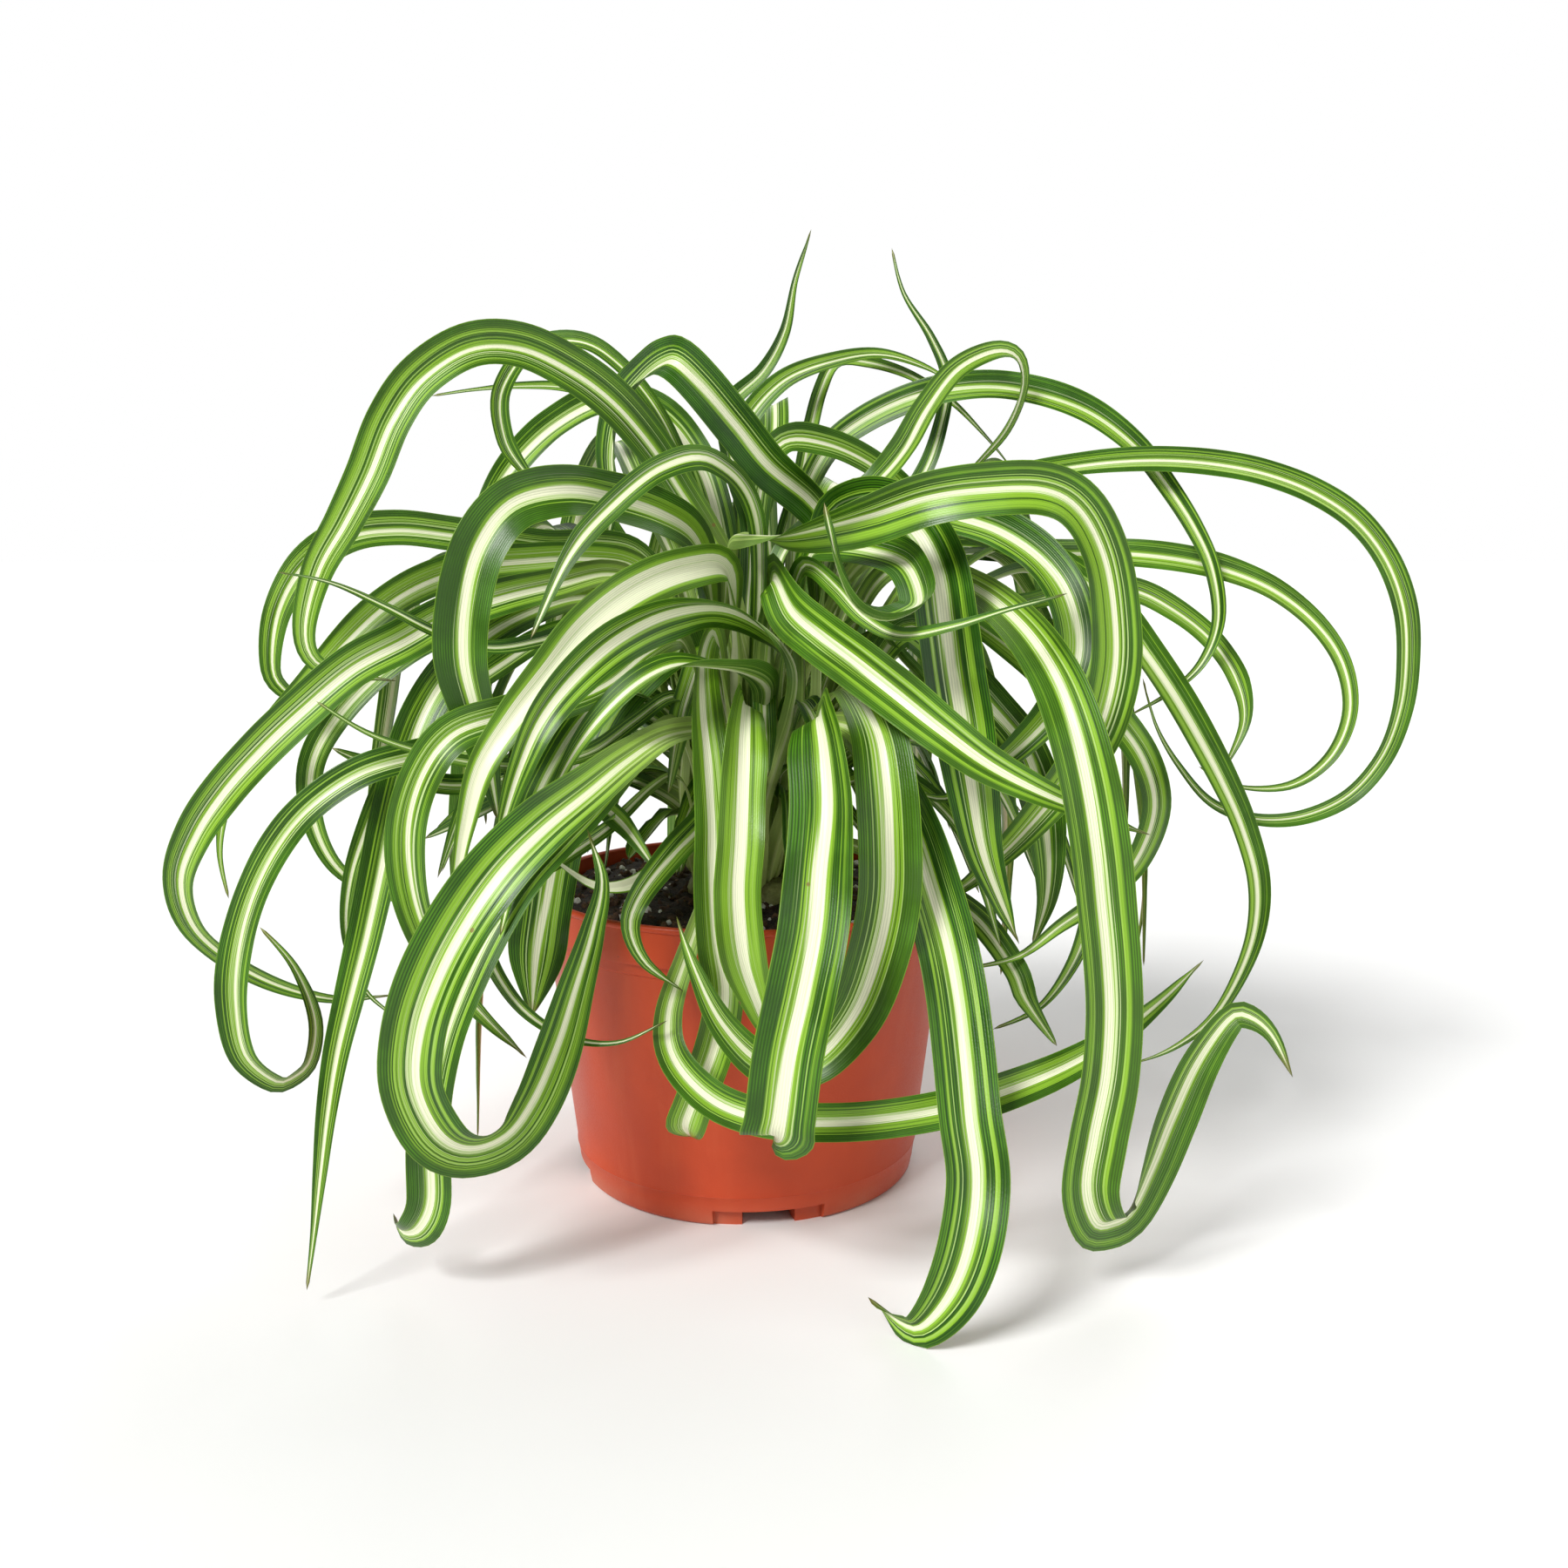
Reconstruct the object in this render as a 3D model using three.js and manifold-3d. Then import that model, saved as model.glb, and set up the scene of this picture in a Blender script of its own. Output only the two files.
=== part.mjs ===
// A potted spider plant: a nursery pot, its potting mix, the crown, and long variegated leaves.
// Millimetres, +Z up. The origin is the centre of the pot's base, on the surface it stands on.
// The viewer of the plant's front stands towards -Y, with +X to the right.
import * as THREE from "three";
import { mergeVertices } from "three/addons/utils/BufferGeometryUtils.js";
import Module from "manifold-3d";

// ---- Pot ----
const RIM_RADIUS = 76; // outside of the rim band
const POT_HEIGHT = 107;
const BASE_RADIUS = 61.9;
const POT_WALL = 1.7;
const POT_FLOOR = 2.4;
const POT_SIDES = 44;
const BASE_ROUNDING = 2.2;
const RIM_BAND_HEIGHT = 14;
const RIM_BAND_STEP = 2.2; // how far the band stands out of the wall below it
const RIM_LIP_HEIGHT = 2.2;
const RIM_LIP_OUT = 0.9;
const FOOT_HEIGHT = 7; // the thick ring at the bottom of the wall
const FOOT_THICKNESS = 5;

// ---- Drainage notches in the pot's bottom edge ----
const NOTCH_COUNT = 4;
const NOTCH_BEARING = -81.5; // degrees from +X, of the notch at the front
const NOTCH_GAP_ANGLE = 17.5;
const NOTCH_GAP_HEIGHT = 5.4;
const NOTCH_GAP_DEPTH = 12;
const NOTCH_RECESS_ANGLE = 36;
const NOTCH_RECESS_HEIGHT = 5.8;
const NOTCH_RECESS_DEPTH = 2.2;

// ---- Potting mix and crown ----
const SOIL_BELOW_RIM = 6;
const SOIL_MOUND = 3;
const SOIL_GAP = 0.3; // clearance between the mix and the pot, and under the crown
const CROWN_RADIUS = 25;
const CROWN_HEIGHT = 9;
const CROWN_AT = new THREE.Vector2(3, -4);

// ---- Leaves ----
const BLADE_WIDTH_SCALE = 1; // multiplies each leaf's own width
const BLADE_THICKNESS = 1.1; // at the midrib; the edges are sharp
const BLADE_CHANNEL = 0.17; // depth of the V channel as a share of the width
const BLADE_BASE_WIDTH = 0.3; // width at the crown as a share of the full width
const TIP_WIDTH = 0.9;
const WIDEN_FROM = 0.14; // shares of the length where a blade starts and stops widening
const WIDEN_TO = 0.5;
const FULL_TO = 0.55; // share of the length that keeps the full width, unless a leaf says otherwise
const TAPER_POWER = 1.7;
const BUNDLE_TOP = new THREE.Vector3(4, -19, 205); // where the upright leaf bases part
const BUNDLE_INNER_RADIUS = 2.5;
const BUNDLE_FLARE = 1.35; // how far the bundle has widened where the leaves part
const BACK_RISE = 150; // height where the leaves of the back part from the bundle
const PART_BELOW_RISE = 20; // a leaf leaves the bundle this far below its rise
const BACK_START_OUT = 14;
const BACK_START_HEIGHT = 175;
const BUNDLE_SPREAD = 2.9;
const PLACES_APART = 4.4; // between two leaf bases
const LEAF_CLEARANCE = 4.6 * BLADE_WIDTH_SCALE; // between the sample points of two leaves
const POT_CLEARANCE = 3.2;
const GROUND_CLEARANCE = 0.8;

// The pot that the leaf routes below were drawn around.
const DRAWN_RIM_RADIUS = 76;
const DRAWN_POT_HEIGHT = 107;

// ---- How the leaves are laid out and spaced ----
const PLACE_ROUNDS = 90;
const BASE_GAP = 1; // leaf bases stand this far above the crown
const FINE_STEPS = 240;
const SHORTEST_STEP = 7;
const LONGEST_STEP = 18;
const BEND_DETAIL = 1.5; // stations for each radian of bend
const TURNING_LENGTH = 45; // length over which a blade turns to the light
const MOST_TWIST = THREE.MathUtils.degToRad(2.2); // for each millimetre along the leaf
const SAMPLE_STEP = 3.4;
const BUNDLE_CLEARANCE = 4.5 * BLADE_WIDTH_SCALE; // the same inside the bundle
const OWN_STATIONS_APART = 3;
const LONGEST_MOVE = 1.2;
const CROWDING = 0.6; // how far the pushes on one station are averaged
const DEPTH_PUSH = 1.2; // how far parted leaves move apart in depth rather than sideways
const PUSH_SHARE = 0.6; // share of a shortfall that one round makes good
const POT_WEIGHT = 3; // how much more the pot pushes than a leaf does
const HOME_PULL = 0.03;
const HOME_DEPTH_SHARE = 0.25; // how much weaker that pull is in depth
const HOME_ROUNDS = 100; // rounds that pull leaves home; the later ones only part them
const EVENING = 0.15;
const SPACING_ROUNDS = 420;
const FRAME_EVERY = 8;
const LIGHT = new THREE.Vector3(0, -1, 0.35).normalize(); // the side that the blades turn their faces to

const MATERIALS = {
  pot: new THREE.MeshStandardMaterial({ color: 0xc24a2c, roughness: 0.5, metalness: 0 }),
  soil: new THREE.MeshStandardMaterial({ color: 0x2a211b, roughness: 0.95, metalness: 0 }),
  crown: new THREE.MeshStandardMaterial({ color: 0xc3d391, roughness: 0.6, metalness: 0 }),
  leaf: new THREE.MeshStandardMaterial({ color: 0x3f8a2c, roughness: 0.42, metalness: 0 }),
};

// ---------------------------------------------------------------------------------------------
// Leaf routes. Each leaf rises in the bundle from the crown to `rise`, then follows its own route.
// width: full blade width; face: how strongly the blade turns to the light, from 0 to 1;
// fullTo: share of the length that keeps the full width before the blade narrows to its tip.
const LEAVES = [
  { name: "left_high_arch", width: 15, rise: 195, face: 1, fullTo: 0.72, route: [
    [-6, -12, 224], [-15, -14, 237], [-27, -18, 258], [-44, -24, 278], [-60, -30, 288], [-75, -36, 293],
    [-89, -42, 290], [-103, -46, 279], [-112, -50, 264], [-119, -53, 246], [-127, -55, 232],
    [-135, -56, 218], [-139, -56, 205], [-137, -56, 192], [-126, -56, 187], [-111, -54, 185] ] },
  { name: "top_fold_arch", width: 15, rise: 200, face: 1, fullTo: 0.8, route: [
    [25, -14, 236], [7, -22, 254], [-10, -30, 274], [-23, -34, 287], [-35, -16, 285], [-46, 0, 275],
    [-50, 6, 257], [-49, 8, 239], [-52, 8, 224] ] },
  { name: "right_front_band", width: 16, rise: 195, face: 1, fullTo: 0.75, route: [
    [-4, -30, 226], [8, -48, 226], [24, -62, 229], [41, -72, 234], [58, -80, 240], [79, -84, 243],
    [96, -84, 242], [108, -80, 232], [115, -76, 211], [117, -74, 192], [114, -72, 173],
    [105, -68, 155], [94, -58, 137], [78, -50, 118], [62, -44, 107] ] },
  { name: "diagonal_front", width: 16.5, rise: 190, face: 1, fullTo: 0.62, route: [
    [11, -36, 216], [15, -50, 206], [28, -68, 194], [42, -82, 184], [57, -94, 173], [73, -102, 162],
    [90, -108, 154], [106, -110, 148], [120, -110, 143] ] },
  { name: "hanging_left_centre", width: 12.5, rise: 165, face: 1, fullTo: 0.95, route: [
    [-8, -56, 202], [-12, -68, 190], [-11, -80, 169], [-9, -88, 143], [-9, -92, 117], [-6, -92, 92],
    [-10, -90, 70], [-18, -90, 48], [-17, -80, 40]] },
  { name: "hanging_pale_centre", width: 14.5, rise: 160, face: 1, fullTo: 0.8, route: [
    [5, -46, 170], [4, -60, 179], [3, -74, 175], [2, -84, 163], [1, -90, 149], [0, -98, 132],
    [-1, -102, 117], [1, -104, 101], [6, -102, 84], [10, -98, 70]] },
  { name: "hanging_front_centre", width: 20.5, rise: 160, face: 1, fullTo: 0.96, route: [
    [21, -70, 181], [22, -84, 179], [24, -94, 168], [25, -102, 154], [24, -108, 139], [23, -114, 125],
    [20, -120, 108], [16, -126, 92], [14, -128, 76], [12, -126, 61], [11, -112, 55] ] },
  { name: "hanging_right_centre", width: 19, rise: 175, face: 1, fullTo: 0.6, route: [
    [22, -50, 180], [27, -64, 184], [32, -79, 178], [38, -91, 168], [40, -97, 155], [42, -101, 140],
    [43, -102, 125], [41, -104, 109], [37, -104, 94], [30, -104, 81], [21, -104, 73], [9, -104, 73],
    [-2, -104, 84], [-10, -102, 99], [-17, -98, 118]] },
  { name: "front_right_long", width: 18.5, rise: 160, face: 1, fullTo: 0.85, route: [
    [22, -44, 170], [30, -60, 172], [38, -76, 165], [48, -90, 147], [56, -98, 123], [61, -106, 104],
    [64, -116, 83], [66, -126, 63], [68, -133, 45], [65, -140, 30], [60, -140, 15], [52, -138, 4],
    [45, -132, 3], [38, -126, 7]] },
  { name: "right_hanging_fold", width: 17, rise: 185, face: 1, fullTo: 0.82, route: [
    [40, -30, 223], [69, -58, 216], [87, -86, 198], [96, -106, 175], [102, -114, 146],
    [106, -115, 120], [109, -115, 96], [109, -115, 75], [106, -115, 53], [105, -114, 36],
    [110, -110, 24], [122, -102, 24], [133, -96, 47], [142, -93, 68], [154, -91, 84],
    [163, -90, 81], [174, -88, 63] ] },
  { name: "right_far_arch", width: 12.5, rise: 190, face: 1, route: [
    [45, 4, 236], [91, 0, 229], [122, -4, 213], [142, -10, 189], [160, -18, 160], [175, -24, 129],
    [180, -28, 105], [174, -32, 81], [158, -36, 59], [133, -40, 49] ] },
  { name: "right_loop_outer", width: 10, rise: 200, face: 0.7, route: [
    [46, 28, 239], [78, 24, 249], [109, 18, 255], [139, 12, 258], [163, 8, 257], [184, 4, 253],
    [205, 0, 244], [221, -4, 230], [232, -6, 208], [235, -6, 185], [232, -6, 160], [220, -6, 141],
    [203, -6, 132], [185, -8, 131], [168, -10, 137], [154, -12, 152], [144, -14, 169],
    [140, -14, 183] ] },
  { name: "right_loop_inner", width: 11, rise: 200, face: 0.8, route: [
    [47, 34, 230], [79, 28, 227], [115, 20, 225], [140, 12, 225], [167, 6, 221], [188, 0, 213],
    [205, -4, 199], [216, -6, 178], [213, -8, 158], [201, -8, 145], [186, -8, 141], [172, -6, 144],
    [164, -4, 149] ] },
  { name: "right_upper_arch", width: 11.5, rise: 190, face: 0.9, route: [
    [23, 26, 246], [33, 32, 265], [50, 32, 277], [69, 30, 284], [94, 26, 286], [115, 22, 281],
    [135, 18, 270], [150, 12, 252], [162, 6, 232], [169, 2, 211], [167, 0, 192], [155, -2, 178],
    [136, -4, 167]] },
  { name: "top_right_loop", width: 10, rise: 205, face: 0.6, route: [
    [14, -16, 226], [29, -13, 237], [44, -16, 247], [57, -8, 261], [66, 0, 276], [77, 6, 289],
    [89, 10, 295], [98, 14, 294], [101, 18, 283], [96, 20, 269], [84, 20, 255], [71, 18, 242] ] },
  { name: "top_tip_left", width: 8.5, rise: 205, face: 0.7, route: [
    [3, 14, 236], [-4, 22, 258], [-6, 28, 278], [5, 30, 289], [13, 30, 300], [16, 30, 314],
    [19, 30, 326], [24, 30, 341] ] },
  { name: "top_tip_right", width: 7.5, rise: 205, face: 0.6, route: [
    [33, 26, 230], [57, 34, 239], [70, 38, 257], [75, 40, 275], [76, 40, 290], [67, 40, 308],
    [58, 40, 322], [55, 40, 335] ] },
  { name: "thin_top_arch", width: 10, rise: 205, face: 0.8, route: [
    [0, 36, 249], [-2, 42, 269], [5, 46, 281], [18, 48, 292], [34, 48, 297], [50, 48, 299],
    [65, 46, 295], [83, 44, 284] ] },
  { name: "kinked_top", width: 6.5, rise: 205, face: 0.8, route: [
    [14, 44, 238], [19, 50, 257], [22, 54, 276], [27, 56, 292], [31, 56, 298], [41, 56, 298],
    [54, 54, 294], [68, 52, 287], [82, 50, 274], [98, 48, 255] ] },
  { name: "left_wavy_loop", width: 17, rise: 190, face: 1, fullTo: 0.8, route: [
    [-15, -32, 229], [-29, -48, 239], [-44, -58, 243], [-56, -66, 244], [-69, -72, 240],
    [-77, -76, 230], [-82, -79, 214], [-84, -80, 198], [-81, -80, 180], [-77, -78, 160],
    [-75, -74, 143] ] },
  { name: "pale_left_arch", width: 14.5, rise: 185, face: 1, route: [
    [-3, -36, 220], [-14, -54, 220], [-26, -70, 215], [-39, -84, 204], [-51, -94, 188],
    [-62, -101, 172], [-70, -105, 157], [-74, -105, 142], [-78, -104, 125], [-82, -100, 112] ] },
  { name: "green_left_arch", width: 15.5, rise: 165, face: 1, route: [
    [15, -48, 192], [5, -62, 205], [-7, -70, 208], [-23, -80, 203], [-38, -90, 192], [-51, -98, 180],
    [-61, -103, 164], [-68, -103, 147], [-73, -100, 129] ] },
  { name: "low_left_arch", width: 12, rise: 170, face: 0.9, route: [
    [10, -46, 180], [4, -58, 187], [-2, -68, 190], [-14, -82, 194], [-27, -88, 194], [-40, -92, 186],
    [-49, -96, 174], [-56, -98, 161], [-61, -98, 146]] },
  { name: "front_left_big", width: 19, rise: 150, face: 1, fullTo: 0.68, route: [
    [5, -52, 165], [-5, -68, 174], [-17, -80, 176], [-30, -92, 172], [-46, -106, 161],
    [-63, -118, 146], [-76, -126, 128], [-86, -131, 107], [-91, -132, 85], [-88, -130, 67],
    [-79, -123, 55], [-68, -114, 55], [-59, -107, 67], [-52, -101, 86], [-46, -96, 107],
    [-41, -92, 125], [-46, -88, 143] ] },
  { name: "left_lower_curl", width: 13, rise: 170, face: 1, fullTo: 0.7, route: [
    [-20, -50, 198], [-44, -66, 184], [-64, -80, 178], [-77, -88, 176], [-88, -93, 170],
    [-95, -96, 158], [-99, -97, 143], [-99, -97, 129], [-96, -96, 114], [-91, -94, 102],
    [-81, -90, 86], [-67, -84, 68] ] },
  { name: "far_left", width: 14.5, rise: 185, face: 1, fullTo: 0.6, route: [
    [-40, -22, 216], [-67, -36, 213], [-94, -48, 205], [-111, -58, 195], [-127, -64, 186],
    [-141, -68, 173], [-155, -70, 160], [-168, -70, 145], [-178, -68, 129], [-182, -64, 115],
    [-178, -60, 101], [-166, -56, 89], [-151, -54, 81], [-135, -52, 77], [-118, -50, 78] ] },
  { name: "left_hanging_loop", width: 11, rise: 175, face: 0.9, fullTo: 0.7, route: [
    [-36, -37, 188], [-67, -64, 167], [-87, -72, 164], [-106, -78, 161], [-122, -82, 154],
    [-139, -84, 138], [-152, -84, 115], [-158, -84, 89], [-157, -82, 68], [-149, -77, 57],
    [-142, -71, 59], [-139, -67, 70], [-143, -65, 86], [-150, -64, 98], [-157, -63, 105] ] },
  { name: "lower_left_straight", width: 13.5, rise: 185, face: 1, fullTo: 0.55, route: [
    [-46, -16, 209], [-78, -40, 203], [-98, -58, 183], [-107, -68, 159], [-112, -76, 135],
    [-115, -84, 115], [-119, -92, 95], [-123, -99, 75], [-126, -105, 52], [-128, -110, 29],
    [-131, -114, 5] ] },
  { name: "behind_big_left", width: 13.5, rise: 160, face: 1, fullTo: 0.92, route: [
    [-20, -50, 171], [-44, -66, 149], [-67, -84, 126], [-81, -96, 101], [-90, -103, 76],
    [-93, -107, 53], [-93, -108, 34], [-98, -106, 22], [-106, -99, 18], [-109, -93, 21]] },
  { name: "left_vertical_wide", width: 19, rise: 160, face: 1, fullTo: 0.9, route: [
    [-18, -34, 197], [-38, -46, 186], [-51, -58, 166], [-58, -66, 144], [-62, -72, 123],
    [-65, -77, 101], [-67, -79, 81] ] },
  { name: "right_vertical_wide", width: 19, rise: 185, face: 1, fullTo: 0.75, route: [
    [30, -22, 233], [47, -42, 239], [60, -58, 230], [66, -68, 214], [68, -74, 197], [71, -80, 177],
    [74, -82, 158], [77, -82, 139], [83, -80, 121], [91, -76, 103] ] },
  { name: "centre_curl", width: 13, rise: 185, face: 0.7, fullTo: 0.7, route: [
    [21, -34, 224], [36, -50, 226], [49, -64, 223], [54, -76, 215], [52, -86, 209], [43, -92, 206],
    [34, -96, 211], [29, -98, 222], [25, -98, 239] ] },
  { name: "thin_front_right", width: 6.5, rise: 180, face: 1, route: [
    [17, -44, 218], [26, -60, 212], [36, -76, 203], [45, -88, 200], [59, -98, 203], [75, -100, 208],
    [93, -100, 213]] },
  { name: "right_inner_loop", width: 14.5, rise: 190, face: 1, fullTo: 0.7, route: [
    [41, -6, 241], [70, -20, 239], [92, -34, 230], [105, -46, 214], [108, -54, 196], [102, -60, 180],
    [91, -64, 167], [78, -68, 157], [65, -70, 149], [53, -70, 152] ] },
  { name: "right_side_curl", width: 12.5, rise: 180, face: 0.9, route: [
    [51, 4, 219], [81, -8, 206], [110, -24, 185], [128, -40, 166], [136, -50, 149], [133, -56, 132],
    [120, -62, 117], [102, -68, 106], [87, -73, 97], [73, -76, 95] ] },
  { name: "right_low_curl", width: 11.5, rise: 175, face: 0.8, route: [
    [59, 18, 207], [96, 4, 191], [117, -14, 165], [123, -30, 138], [119, -44, 113], [112, -52, 93],
    [101, -58, 78], [83, -62, 70] ] },
  { name: "right_dark_leaf", width: 15, rise: 165, face: 1, fullTo: 0.75, route: [
    [53, -16, 200], [76, -34, 180], [92, -48, 159], [97, -56, 137], [98, -58, 115], [94, -56, 97] ] },
  { name: "back_left_arch", width: 13, rise: 205, face: 0.9, fullTo: 0.8, route: [
    [-19, 42, 259], [-38, 48, 280], [-58, 48, 281], [-78, 46, 269], [-93, 42, 252], [-102, 36, 232],
    [-104, 30, 214] ] },
  { name: "top_left_thin", width: 7, rise: 205, face: 0.8, route: [
    [-23, 58, 255], [-42, 62, 277], [-66, 62, 288], [-91, 60, 289], [-122, 58, 285] ] },
  { name: "left_outer_loop", width: 13, rise: 190, face: 0.8, fullTo: 0.75, route: [
    [-36, 4, 224], [-72, -6, 227], [-103, -16, 232], [-124, -24, 233], [-140, -30, 227],
    [-151, -34, 214], [-157, -36, 198], [-156, -38, 183], [-146, -38, 176], [-134, -36, 178] ] },
  { name: "left_second_arch", width: 12.5, rise: 190, face: 0.9, route: [
    [-36, -8, 219], [-69, -22, 222], [-95, -32, 219], [-112, -38, 212], [-126, -42, 201],
    [-138, -44, 188], [-151, -42, 175], [-165, -38, 160], [-175, -36, 143], [-179, -36, 126],
    [-177, -36, 108] ] },
  { name: "thin_left_cross", width: 5.5, rise: 180, face: 1, route: [
    [-26, -38, 208], [-56, -52, 199], [-80, -62, 196], [-95, -68, 202], [-110, -70, 210],
    [-126, -71, 217], [-141, -72, 220] ] },
  { name: "thin_left_lower", width: 5.5, rise: 160, face: 1, route: [
    [-24, -42, 178], [-48, -60, 163], [-71, -72, 159], [-89, -78, 162], [-106, -82, 167],
    [-120, -84, 174], [-129, -86, 181] ] },
  { name: "left_inner_curl", width: 10.5, rise: 180, face: 0.8, fullTo: 0.7, route: [
    [-46, 6, 208], [-85, -6, 204], [-116, -16, 192], [-138, -24, 173], [-149, -28, 154],
    [-149, -32, 137], [-142, -34, 120], [-128, -36, 110], [-112, -36, 105] ] },
  { name: "left_dark_hang", width: 9, rise: 175, face: 1, route: [
    [-50, -14, 200], [-84, -30, 186], [-108, -44, 164], [-120, -52, 142], [-127, -57, 122],
    [-129, -60, 104], [-124, -62, 85], [-113, -62, 74] ] },
  { name: "thin_pot_swag", width: 5.5, rise: 140, face: 1, route: [
    [-21, -50, 155], [-45, -68, 138], [-69, -86, 124], [-76, -92, 109], [-68, -95, 92],
    [-54, -96, 81], [-38, -99, 79], [-21, -98, 86] ] },
  { name: "rim_curl_left", width: 9.5, rise: 125, face: 1, route: [
    [-1, -44, 149], [-14, -66, 137], [-25, -82, 127], [-32, -90, 114], [-28, -93, 103],
    [-16, -90, 92] ] },
  { name: "white_rim_curl", width: 7.5, rise: 125, face: 1, route: [
    [-7, -30, 153], [-16, -52, 138], [-29, -68, 125], [-44, -76, 123], [-58, -78, 132] ] },
  { name: "low_front_sweep", width: 11.5, rise: 130, face: 1, fullTo: 0.75, route: [
    [-4, -60, 139], [-12, -80, 119], [-19, -86, 98], [-22, -92, 83], [-14, -99, 70], [3, -106, 63],
    [27, -109, 61], [56, -109, 63], [80, -106, 68], [102, -101, 75], [124, -95, 87],
    [144, -88, 103]] },
];

// Leaves of the back, which arch out evenly: bearing in degrees from +X, then heights and reach.
const BACK_LEAVES = [
  { name: "back_right_low", bearing: 12, reach: 150, peak: 222, end: 70, width: 13 },
  { name: "back_right_high", bearing: 41, reach: 165, peak: 262, end: 120, width: 14 },
  { name: "back_right_wide", bearing: 63, reach: 150, peak: 236, end: 45, width: 17 },
  { name: "back_centre_high", bearing: 85, reach: 140, peak: 286, end: 150, width: 13 },
  { name: "back_centre_long", bearing: 102, reach: 168, peak: 246, end: 30, width: 18 },
  { name: "back_left_high", bearing: 127, reach: 150, peak: 270, end: 110, width: 14 },
  { name: "back_left_wide", bearing: 140, reach: 165, peak: 238, end: 50, width: 17 },
  { name: "back_left_low", bearing: 163, reach: 160, peak: 225, end: 85, width: 13 },
];

// ---------------------------------------------------------------------------------------------
// Solids

const wasm = await Module();
wasm.setup();

// A closed three.js geometry as a solid that can be joined and cut.
function solidOf(geometry) {
  const bare = geometry.clone();
  bare.deleteAttribute("normal");
  bare.deleteAttribute("uv");
  const merged = mergeVertices(bare, 1e-4);
  return new wasm.Manifold(new wasm.Mesh({
    numProp: 3,
    vertProperties: new Float32Array(merged.attributes.position.array),
    triVerts: new Uint32Array(merged.index.array),
  }));
}

function geometryOf(solid) {
  const mesh = solid.getMesh();
  const geometry = new THREE.BufferGeometry();
  geometry.setAttribute("position", new THREE.BufferAttribute(mesh.vertProperties, 3));
  geometry.setIndex(new THREE.BufferAttribute(mesh.triVerts, 1));
  return geometry;
}

// Turns a profile of [radius, height] points around the Z axis.
function turned(profile, sides) {
  const points = profile.map(([radius, height]) => new THREE.Vector2(radius, height));
  return new THREE.LatheGeometry(points, sides).rotateX(Math.PI / 2);
}

function namedMesh(name, geometry, material) {
  const mesh = new THREE.Mesh(geometry, material);
  mesh.name = name;
  return mesh;
}

// ---------------------------------------------------------------------------------------------
// Pot

const BAND_RADIUS = RIM_RADIUS - RIM_LIP_OUT;
const WALL_TOP_RADIUS = BAND_RADIUS - RIM_BAND_STEP;
const BAND_BOTTOM = POT_HEIGHT - RIM_BAND_HEIGHT;
const LIP_BOTTOM = POT_HEIGHT - RIM_LIP_HEIGHT;

// Outside radius of the tapered wall, carried on upwards behind the rim band.
function wallRadius(height) {
  return THREE.MathUtils.lerp(BASE_RADIUS, WALL_TOP_RADIUS, height / BAND_BOTTOM);
}

// Outside radius of the whole pot at a height.
function potRadius(height) {
  return height > BAND_BOTTOM - POT_CLEARANCE ? RIM_RADIUS : wallRadius(height);
}

function potProfile() {
  const rounding = [0, 1, 2, 3].map((step) => {
    const angle = (step / 3) * (Math.PI / 2);
    return [
      BASE_RADIUS - BASE_ROUNDING * (1 - Math.sin(angle)),
      BASE_ROUNDING * (1 - Math.cos(angle)),
    ];
  });
  const foot = BASE_RADIUS - FOOT_THICKNESS;
  return [
    [0, 0],
    ...rounding,
    [WALL_TOP_RADIUS, BAND_BOTTOM],
    [BAND_RADIUS - 0.5, BAND_BOTTOM],
    [BAND_RADIUS, BAND_BOTTOM + 0.6],
    [BAND_RADIUS, LIP_BOTTOM],
    [RIM_RADIUS, LIP_BOTTOM + 0.5],
    [RIM_RADIUS, POT_HEIGHT - 0.7],
    [RIM_RADIUS - 0.7, POT_HEIGHT],
    [BAND_RADIUS - POT_WALL, POT_HEIGHT],
    [wallRadius(BAND_BOTTOM) - POT_WALL, BAND_BOTTOM],
    [wallRadius(FOOT_HEIGHT + 2) - POT_WALL, FOOT_HEIGHT + 2],
    [foot, FOOT_HEIGHT],
    [foot, POT_FLOOR],
    [0, POT_FLOOR],
  ];
}

// A block between two radii and over an angle, standing from just below z = 0 up to a height.
function ringSector(innerRadius, outerRadius, angle, height) {
  const half = THREE.MathUtils.degToRad(angle / 2);
  const outline = new THREE.Shape();
  outline.absarc(0, 0, outerRadius, -half, half, false);
  outline.absarc(0, 0, innerRadius, half, -half, true);
  const below = 1;
  const block = new THREE.ExtrudeGeometry(outline, {
    depth: height + below,
    bevelEnabled: false,
    curveSegments: 4,
  });
  return block.translate(0, 0, -below);
}

function pot() {
  let body = solidOf(turned(potProfile(), POT_SIDES));
  const outside = BASE_RADIUS + 4;
  for (let notch = 0; notch < NOTCH_COUNT; notch++) {
    const bearing = THREE.MathUtils.degToRad(NOTCH_BEARING + (360 / NOTCH_COUNT) * notch);
    const recess = ringSector(
      BASE_RADIUS - NOTCH_RECESS_DEPTH, outside, NOTCH_RECESS_ANGLE, NOTCH_RECESS_HEIGHT);
    const gap = ringSector(
      BASE_RADIUS - NOTCH_GAP_DEPTH, outside, NOTCH_GAP_ANGLE, NOTCH_GAP_HEIGHT);
    body = body.subtract(solidOf(recess.rotateZ(bearing)));
    body = body.subtract(solidOf(gap.rotateZ(bearing)));
  }
  return namedMesh("nursery_pot", geometryOf(body), MATERIALS.pot);
}

// ---------------------------------------------------------------------------------------------
// Potting mix and crown

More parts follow.
